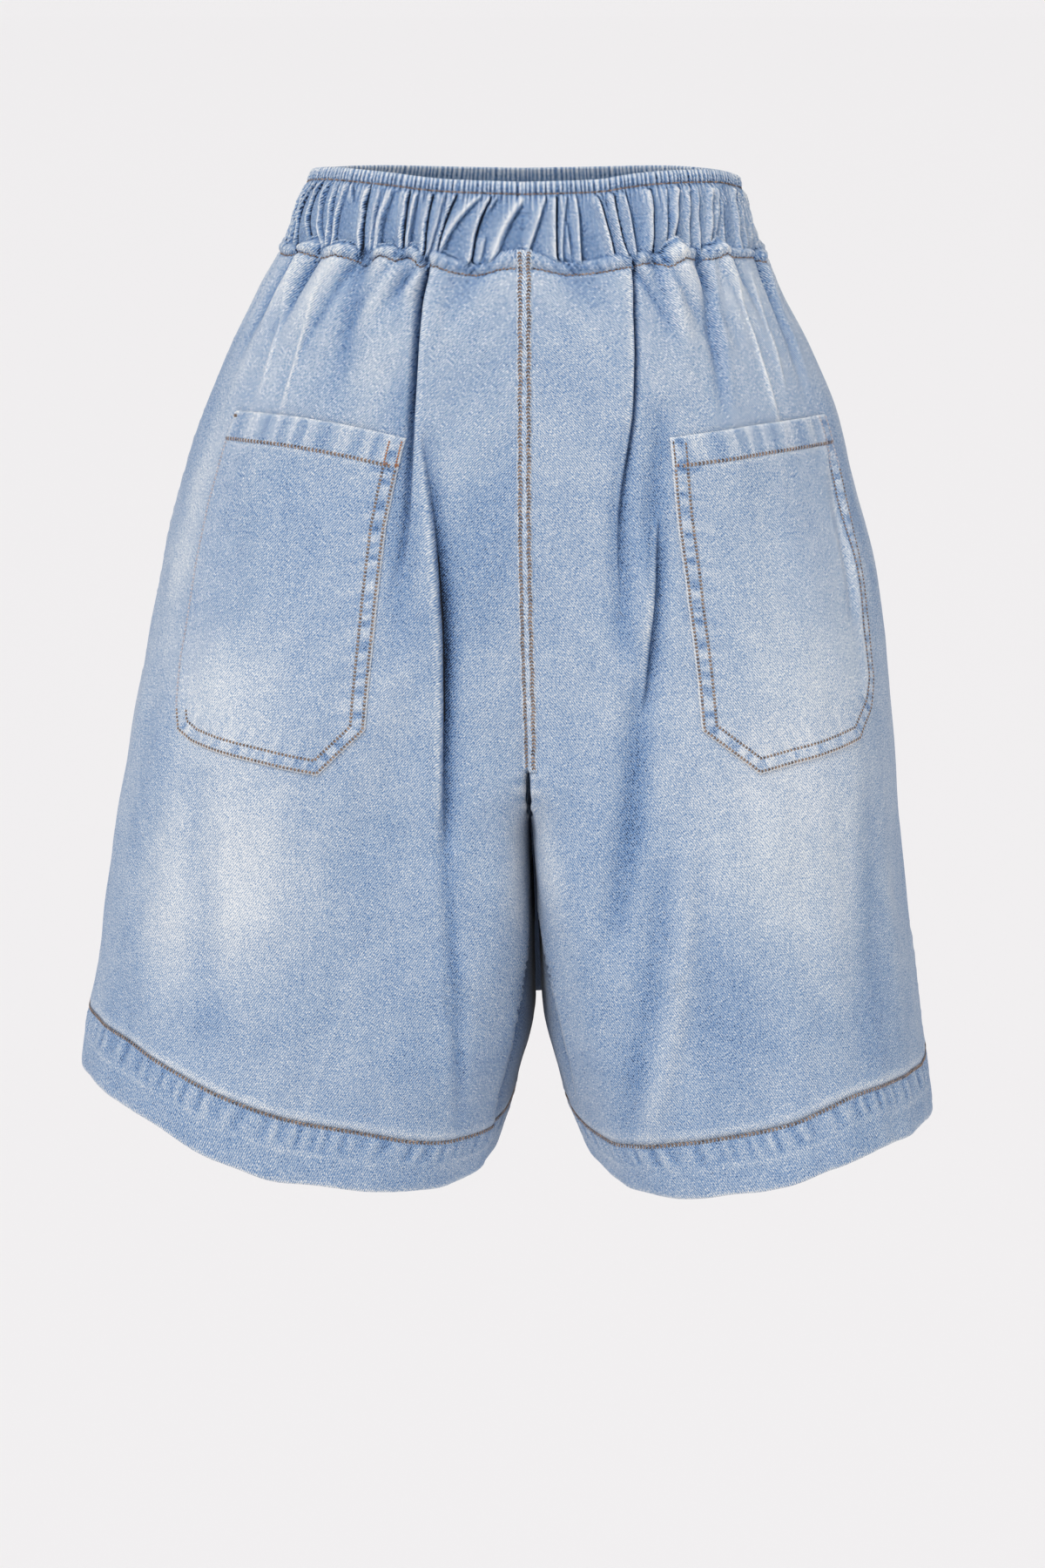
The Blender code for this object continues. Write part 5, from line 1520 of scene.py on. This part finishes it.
# %% Section of the band
BAND_COLUMNS = {1: 340, -1: 236}
FULLNESS = 1.25
OUTER_ROWS = [*np.arange(-28.0, -19.0, 2.0), *np.arange(-18.8, 9.0, 1.15), *np.arange(9.6, 12.8, 0.8),
              12.9, 13.3, 13.7, 14.2, *np.arange(15.0, 18.8, 0.9), 19.2]
BAND_PROFILE = table("z out outside", [*((z, 0.0, 1.0) for z in OUTER_ROWS),
    (19.9, -0.35, 0.6), (20.1, -0.95, 0.3), (19.8, -1.6, 0.2), (18.6, -2.0, 0.3), (15.0, -2.1, 0.3),
    (12.5, -2.6, 0.2), (8.0, -3.1, 0.2), (0.0, -3.3, 0.2), (-10.0, -3.3, 0.2), (-20.0, -3.3, 0.2),
    (-26.5, -3.2, 0.1), (-28.6, -2.7, 0.1),
])
print("band section of", len(BAND_PROFILE), "points")

# %% Waistband
quarter_parts = []
z, out, outside = [numbers(BAND_PROFILE, column)[:, None] for column in ("z", "out", "outside")]
for quarter in (BACK_LEFT, FRONT_LEFT, FRONT_RIGHT, BACK_RIGHT):
    w = np.linspace(0, 1, BAND_COLUMNS[quarter.face] + 1) * cloth_width(quarter, z)
    move = band_move(quarter, w, z)
    points, _ = lay(quarter, w, z, out + move.out * outside, move.side * outside)
    parts = [points, np.stack(np.broadcast_arrays(w * FULLNESS, z), -1), move.wear, move.deep]
    if quarter.half * quarter.face > 0:
        parts = [part[:, ::-1] for part in parts]
    quarter_parts.append([part[:, :-1] for part in parts])
points, places, wear, deep = [closed(closed(np.concatenate(four, axis=1), axis=1))
                              for four in zip(*quarter_parts)]
bm = woven_grid(points, places, {"fade": 0 * wear, "wear": wear, "deep": deep}, meets=True)
bmesh.ops.recalc_face_normals(bm, faces=bm.faces)
band = piece("gathered_waistband", bm, [gathered_denim], "waistband")

# %% [markdown]
# ## Drawstring
#
# The tie is a strip of the same denim, folded in four and stitched along its edges, 15 mm wide. It is
# tied in front in a plain knot, and its two ends hang down, one of them between the legs. A tail is
# a flat strip with rounded edges, swept along the path of its solid.

# %% Path of a tail
TIE_WIDTH, TIE_CLOTH = 15.0, 2.4
KNOT_SIZE = (24.0, 13.0, 17.0)
KNOT_Z, KNOT_CLEAR = -1.0, 3.0
TAIL_STEPS = 150
TAIL_CLEAR, TAIL_HANG, TAIL_FORK_Y = 4.5, 7.0, -112.0
TAIL_NECK, TAIL_NECK_END, TAIL_SETTLED = 0.6, -90.0, -190.0
TAILS = table("name root_x end_x reach end_z turn", [
    ("tie_tail_left", 6.5, -8.0, 420.0, -493.0, 12.0),
    ("tie_tail_right", -6.5, -44.0, 300.0, -478.0, -16.0),
])
knot_half = np.array(KNOT_SIZE) / 2
front_middle = lay(FRONT_LEFT, cloth_width(FRONT_LEFT, KNOT_Z), KNOT_Z)[0]
knot_y = float(front_middle[1]) - knot_half[1] - KNOT_CLEAR


def tail_path(tail):
    """Middle points of a tail, the direction of its width, and half its width."""
    heights = np.linspace(KNOT_Z - knot_half[2] - SEAM_GAP, tail.end_z, TAIL_STEPS + 1)
    settled = smooth_step(-heights, 0.0, -TAIL_SETTLED)
    x = tail.root_x + (tail.end_x - tail.root_x) * smooth_step(-heights, 0.0, tail.reach)
    middle_y = lay(FRONT_LEFT, cloth_width(FRONT_LEFT, heights), heights)[0][:, 1]
    front_y = np.where(heights > FORK, middle_y, TAIL_FORK_Y)
    hang_y = np.minimum.accumulate(front_y) - TAIL_HANG
    y = np.minimum(knot_y + (hang_y - knot_y) * settled, front_y - TAIL_CLEAR)
    turn = math.radians(tail.turn) * settled
    reach = TIE_WIDTH / 2 * (TAIL_NECK + (1 - TAIL_NECK) * smooth_step(-heights, 0.0, -TAIL_NECK_END))
    across = np.stack([np.cos(turn), np.sin(turn), 0 * turn], axis=1)
    return np.stack([x, y, heights], axis=1), across, reach


print("tails end at", [tail.end_z for tail in TAILS])

# %% Section of a strip
# Shares of a tail's half width and half thickness, half way round; the other half is the same turned.
STITCH_LINE = 0.76
HALF_ROUND = [(-0.97, 0.55), (-0.86, 0.95), (-STITCH_LINE, 0.72), (-0.62, 0.95), (-0.2, 1.0), (0.2, 1.0),
              (0.62, 0.95), (STITCH_LINE, 0.72), (0.86, 0.95), (0.97, 0.55), (1.0, 0.0)]
TAIL_SECTION = table("across out", HALF_ROUND + [(-across, -out) for across, out in HALF_ROUND])
UP = [0.0, 0.0, 1.0]


def strip_marks(points, across):
    """Wash marks of a stitched strip: pale along both edges and dark under the stitches."""
    edge = bell(np.abs(across), 1.0, 0.13)
    pucker = np.sin(np.arange(points.shape[0]) * 1.1)[:, None]
    return {"fade": 0 * points[..., 0], "wear": 0.55 * edge + 0.08 * pucker,
            "deep": 0.35 * bell(np.abs(across), STITCH_LINE, 0.08) + 0 * pucker}


print("strip section of", len(TAIL_SECTION), "points")

# %% Tails
steps = np.arange(TAIL_STEPS + 1)
share_across, share_out = numbers(TAIL_SECTION, "across"), numbers(TAIL_SECTION, "out")
around = closed(share_across)
for tail in TAILS:
    middle, across, reach = tail_path(tail)
    wave = 1 + 0.05 * np.sin(steps * 0.9)
    curl = 0.9 * np.sin(steps * 0.11)[:, None] * (1 - share_across[None] ** 2)
    points = middle[:, None] + across[:, None] * (reach * wave)[:, None, None] * share_across[None, :, None]
    depth = (TIE_CLOTH / 2 * share_out)[None] + 0.35 * curl
    points = points + np.cross(UP, across)[:, None] * depth[..., None]
    ends = middle[[0, -1], None] + 0 * points[:1]
    points = closed(np.concatenate([ends[:1], points, ends[1:]]), axis=1)
    places = np.stack(np.broadcast_arrays(around * TIE_WIDTH / 2, points[..., 2]), -1)
    marks = strip_marks(points, around[None])
    # The face towards the legs lies in their shade below the fork.
    shaded = smooth_step(-points[..., 2], -FORK - 10, -FORK + 70)
    marks["shadow"] = shaded * (0.12 + 0.88 * smooth_step(closed(share_out)[None], -0.9, 0.2))
    bm = woven_grid(points, places, marks, meets=True)
    bmesh.ops.recalc_face_normals(bm, faces=bm.faces)
    made = piece(f"{tail.name}_strip", bm, [tie_cloth], tail.name)

# %% [markdown]
# A knot is hard to model by hand and easy as a curve: a trefoil runs over and under itself just as an
# overhand knot does. The same strip, a little narrower, is swept along it, with its flat side turned
# away from the middle of the knot.

# %% Curve of the knot
KNOT_TURNS, KNOT_OPEN = 140, 0.10
KNOT_STRIP = (5.6, 2.5)
KNOT_MARGIN, KNOT_FACING = (2.9, 2.3, 2.9), (0.35, 1.6, 0.45)
KNOT_ROUND = 19
knot_middle = np.array([0.0, knot_y, KNOT_Z])


def unit(vectors):
    """Vectors made one long."""
    return vectors / np.maximum(np.linalg.norm(vectors, axis=1), NO_LENGTH)[:, None]


def knot_curve():
    """A trefoil's turns, squeezed into the size of the knot's solid."""
    turn = np.linspace(KNOT_OPEN, TURN - KNOT_OPEN, KNOT_TURNS)
    loop = np.stack([np.sin(turn) + 2 * np.sin(2 * turn), 0.9 * np.sin(3 * turn),
                     np.cos(turn) - 2 * np.cos(2 * turn)], -1)
    size = (knot_half - np.array(KNOT_MARGIN)) / np.abs(loop).max(axis=0)
    return loop * size + knot_middle


def squared(wave, power, size):
    """A round wave with flatter tops, size across."""
    return np.sign(wave) * np.abs(wave) ** power * size / 2


print("knot curve of", len(knot_curve()), "points")

# %% Knot
curve = knot_curve()
tangent = unit(np.gradient(curve, axis=0))
outward = (curve - knot_middle) * np.array(KNOT_FACING)
outward = unit(outward - (outward * tangent).sum(axis=1)[:, None] * tangent)
across = np.cross(tangent, outward)
angles = np.linspace(0, TURN, KNOT_ROUND)
wide, thick = squared(np.cos(angles), 0.7, KNOT_STRIP[0]), squared(np.sin(angles), 0.8, KNOT_STRIP[1])
points = curve[:, None] + across[:, None] * wide[None, :, None] + outward[:, None] * thick[None, :, None]
points = closed(points)
walked = distances(curve)
walked = np.append(walked, walked[-1] + 1)
places = np.stack(np.broadcast_arrays(wide[None], walked[:, None]), -1)
bm = woven_grid(points, places, strip_marks(points, (wide / KNOT_STRIP[0] * 2)[None]), meets=True)
bmesh.ops.recalc_face_normals(bm, faces=bm.faces)
knot = piece("tie_knot_strip", bm, [tie_cloth], "tie_knot")

# %% [markdown]
# ## Thread
#
# The seams are sewn with a thick brown cotton thread in chain stitch, which looks like a small plait:
# two short strands to each stitch, slanting towards each other. The waistband has plain lockstitch.
# One strand is a stretched ball with few faces. Thousands of them are laid out by array arithmetic
# along the seams and joined into one mesh for each kind of seam, with a random shade for each strand.

# %% Thread material
def thread(name, dark, light):
    """Spun cotton thread, whose strands differ a little in shade."""
    made, tree, shader = new_material(name)
    shade = add(tree, "ShaderNodeAttribute", {"attribute_name": "shade"})
    ramp = blues_ramp(tree, shade.outputs["Fac"], [(0.0, dark), (1.0, light)])
    tree.links.new(ramp.outputs["Color"], shader.inputs["Base Color"])
    shader.inputs["Roughness"].default_value = 0.7
    shader.inputs["Sheen Weight"].default_value = 0.2
    return made


brown_thread = thread("brown cotton thread", "#463630", "#a98d78")
rust_thread = thread("rust bartack thread", "#8a5233", "#bd8459")
faded_thread = thread("faded cotton thread", "#a29ba4", "#d0cbd0")
print("threads:", ", ".join(m.name for m in (brown_thread, rust_thread, faded_thread)))

# %% Kinds of stitch
Stitch = namedtuple("Stitch", "pitch length width height slant apart")
CHAIN = Stitch(2.1, 1.60, 0.88, 0.50, 0.45, 0.34)
HEM_CHAIN = Stitch(2.2, 1.8, 1.00, 0.55, 0.55, 0.50)
WIDE_CHAIN = Stitch(2.0, 2.0, 0.95, 0.55, 0.60, 0.55)
LOCK = Stitch(2.0, 1.8, 1.05, 0.50, 0.0, 0.0)
BAR = Stitch(1.5, 1.4, 1.15, 0.50, 0.0, 0.0)
TACK = Stitch(0.5, 1.9, 0.55, 0.5, 1.45, 0.0)
BALL_SEGMENTS, BALL_RINGS = 5, 4


def from_lowest(corners):
    """The corners of a face in their order, from the lowest number on."""
    start = corners.index(min(corners))
    return corners[start:] + corners[:start]


# The operator may list the faces in another order each time, so they are sorted.

ball = bmesh.new()
bmesh.ops.create_uvsphere(ball, u_segments=BALL_SEGMENTS, v_segments=BALL_RINGS, radius=0.5)
BALL_POINTS = np.array([vert.co[:] for vert in ball.verts])[:, [2, 1, 0]]
BALL_FACES = sorted(from_lowest([vert.index for vert in face.verts]) for face in ball.faces)
ball.free()
print("a strand has", len(BALL_FACES), "faces")

# %% Strands
LOOK_AHEAD, STAND_OUT = 0.4, 0.12
SLANT_SPREAD, SHADE_MIDDLE, SHADE_SPREAD = 0.07, 0.5, 0.28


def strands(points, outward, stitch, dice):
    """Vertices of all strands along a row of points, with the way out of the cloth at each."""
    walked = distances(points)
    number = max(int(walked[-1] / stitch.pitch), 1)
    at = (np.arange(number) + 0.5) * walked[-1] / number
    place, up = values_at(points, walked, at), values_at(outward, walked, at)
    way = values_at(points, walked, at + LOOK_AHEAD) - values_at(points, walked, at - LOOK_AHEAD)
    way = unit(way)
    up = unit(up - (up * way).sum(axis=1)[:, None] * way)
    across = np.cross(up, way)
    made, shades = [], []
    for hand in ((1, -1) if stitch.apart else (1,)):
        turn = hand * stitch.slant + dice.normal(0, SLANT_SPREAD, number)
        long_way = way * np.cos(turn)[:, None] + across * np.sin(turn)[:, None]
        wide_way = across * np.cos(turn)[:, None] - way * np.sin(turn)[:, None]
        middle = place + across * hand * stitch.apart + up * STAND_OUT
        size = (long_way * stitch.length, wide_way * stitch.width, up * stitch.height)
        made.append(middle[:, None] + sum(s[:, None] * BALL_POINTS[None, :, k, None]
                                          for k, s in enumerate(size)))
        shade = np.clip(dice.normal(SHADE_MIDDLE, SHADE_SPREAD, number), 0, 1)
        shades.append(np.repeat(shade[:, None], len(BALL_POINTS), axis=1))
    return np.concatenate(made), np.concatenate(shades)


# %% Sewing
def sew(name, rows, material, seed):
    """One mesh of all the strands of the rows (points, outward, stitch)."""
    dice = np.random.default_rng(seed)
    made, shades = zip(*[strands(points, outward, stitch, dice) for points, outward, stitch in rows])
    points, shades = np.concatenate(made), np.concatenate(shades)
    mesh = bpy.data.meshes.new(name)
    faces = [[corner + k * len(BALL_POINTS) for corner in face]
             for k in range(len(points)) for face in BALL_FACES]
    mesh.from_pydata((points.reshape(-1, 3) * MM).tolist(), [], faces)
    mesh.attributes.new("shade", "FLOAT", "POINT").data.foreach_set("value", shades.ravel())
    mesh.materials.append(material)
    mesh.shade_smooth()
    seam = bpy.data.objects.new(name, mesh)
    bpy.context.scene.collection.objects.link(seam)
    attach(seam, "root")
    print(name, "has", len(points), "strands")


# %% [markdown]
# Each row of stitching is a line on one of the draped surfaces above, so it is read from the same
# functions, a hair's breadth further out. Rows round a pocket run along its outline, moved inwards.

# %% Lines of stitching
ON_TOP, LOCK_OUT, TACK_OUT, HEM_OUT = 0.16, 0.1, 0.15, 0.35
ROW_STEP, FINE_STEP, ROW_END = 0.7, 0.3, 0.8


def inset(outline, distance):
    """A pocket's outline from its outer top end round to its centre top end, moved inwards."""
    way = unit(np.diff(outline, axis=0))
    inward = np.stack([-way[:, 1], way[:, 0]], -1)
    start = outline[:-1] + inward * distance
    turns = []
    for k in range(len(way) - 1):
        lines = np.stack([way[k], -way[k + 1]], -1)
        reach = np.linalg.solve(lines, start[k + 1] - start[k])
        turns.append(start[k] + way[k] * reach[0])
    first = start[0] + way[0] * ROW_END
    last = outline[-1] + inward[-1] * distance - way[-1] * ROW_END
    return np.array([first, *turns, last])


def fill(path, step=ROW_STEP):
    """A polyline with points closer together."""
    path = np.asarray(path, float)
    walked = distances(path)
    return values_at(path, walked, np.arange(0, walked[-1], step))


print("outer row of the left pocket:", len(fill(inset(POCKETS[0].outline, ROW_OUTER))), "points")

# %% Rows round the pockets
# On the left pocket the faded thread shows in the outer row alone, below the mouth's hem, and its
# rows end at the mouth in rust thread.
brown_rows, rust_rows, faded_rows = [], [], []
for pocket in POCKETS:
    outline, left = pocket.outline, pocket.quarter is BACK_LEFT
    across = (outline[-1] - outline[0]) / np.linalg.norm(outline[-1] - outline[0])
    down = np.array([across[1], -across[0]])
    for distance in (ROW_OUTER, ROW_INNER):
        path = fill(inset(outline, distance))
        over_hem = (path - outline[0]) @ down < POCKET_HEM + 1
        centre = np.arange(len(path)) > len(path) / 2
        worn = ~centre & (path[:, 1] > pocket.faded_to)
        seen = worn & ~over_hem & (distance == ROW_OUTER) if left else worn
        bar_rows, bar = (rust_rows, BAR) if left else (brown_rows, LOCK)
        for part, rows, stitch in ((centre & over_hem, bar_rows, bar), (seen, faded_rows, CHAIN),
                                   (~worn & ~(centre & over_hem), brown_rows, CHAIN)):
            if part.sum() > 3:
                rows.append((*on_pocket(pocket, path[part], ON_TOP), stitch))
    hem_row = [outline[0] + down * POCKET_HEM + across * 1.5, outline[-1] + down * POCKET_HEM - across * 0.5]
    brown_rows.append((*on_pocket(pocket, fill(hem_row), ON_TOP), HEM_CHAIN))
print(len(brown_rows), "brown,", len(rust_rows), "rust and", len(faded_rows), "faded rows")

# %% Corner tack, fells and hems
CORNER_TACK = [(72.8, -109.0), (75.4, -109.0)]
HEM_ROW_STEPS = 900

corner_tack = fill(CORNER_TACK, FINE_STEP)
brown_rows.append((*on_pocket(POCKETS[0], corner_tack, ON_TOP + TACK_OUT), TACK))
for face in (1, -1):
    for x in FELL_ROWS_AT:
        heights = np.arange(FELL_TOP - 1.0, FORK + 2, -ROW_STEP)
        wander = x + 0.25 * np.sin(heights * 0.33 + x) + 0.12 * np.sin(heights * 0.91)
        brown_rows.append((*on_fell(face, wander, heights, FELL_OUT * 0.8 + ON_TOP), WIDE_CHAIN))
for quarter in QUARTERS:
    w, z = hem_path(quarter, HEM_ROW_STEPS)
    settled = drape(quarter, w, z)
    brown_rows.append((*lay(quarter, w, z - 0.1, settled.out + ON_TOP + HEM_OUT, settled.side), HEM_CHAIN))
sew("chain_stitching", brown_rows, brown_thread, 3)
sew("faded_stitching", faded_rows, faded_thread, 7)

# %% Rows of the waistband
band_rows = []
for quarter in QUARTERS:
    w = np.arange(0.0, float(cloth_width(quarter, HEADER_SEAM)), 0.5)
    header = band_move(quarter, w, HEADER_SEAM)
    band_rows.append((*lay(quarter, w, HEADER_SEAM, header.out + ON_TOP + LOCK_OUT), LOCK))
    w = np.arange(0.0, float(cloth_width(quarter, BAND_SEAM - 7)), 0.5)
    stitch_z = roll_lines(quarter, w)[1]
    band_rows.append((*on_panel(quarter, w, stitch_z, ON_TOP + LOCK_OUT), LOCK))
sew("band_stitching", band_rows, brown_thread, 4)

# %% Rows of the tie
tail_rows = []
for tail in TAILS:
    middle, across, reach = tail_path(tail)
    way_out = np.cross(UP, across)
    for side in (-STITCH_LINE, STITCH_LINE):
        for out in (1, -1):
            path = middle + across * (reach * side)[:, None] + way_out * out * TIE_CLOTH * 0.38
            tail_rows.append((path, way_out * out, LOCK))
sew("tie_stitching", tail_rows, brown_thread, 5)

# %% [markdown]
# Bartacks are short dense bars of rust thread where a seam's end would tear, here at the pocket
# mouths. Each is a very short row whose strands lie almost across it.

# %% Bartacks
TACKS = table("pocket w z along", [
    (POCKETS[0], 183.6, -130.6, 2.2),
    (POCKETS[0], 178.0, -130.2, 1.4),
    (POCKETS[1], 163.6, -130.8, 1.4),
    (POCKETS[1], 158.0, -130.4, 1.4),
])
tack_rows = list(rust_rows)
for tack in TACKS:
    ends = [(tack.w - tack.along / 2, tack.z), (tack.w + tack.along / 2, tack.z)]
    tack_rows.append((*on_pocket(tack.pocket, fill(ends, FINE_STEP), ON_TOP + TACK_OUT), TACK))
sew("bartacks", tack_rows, rust_thread, 6)
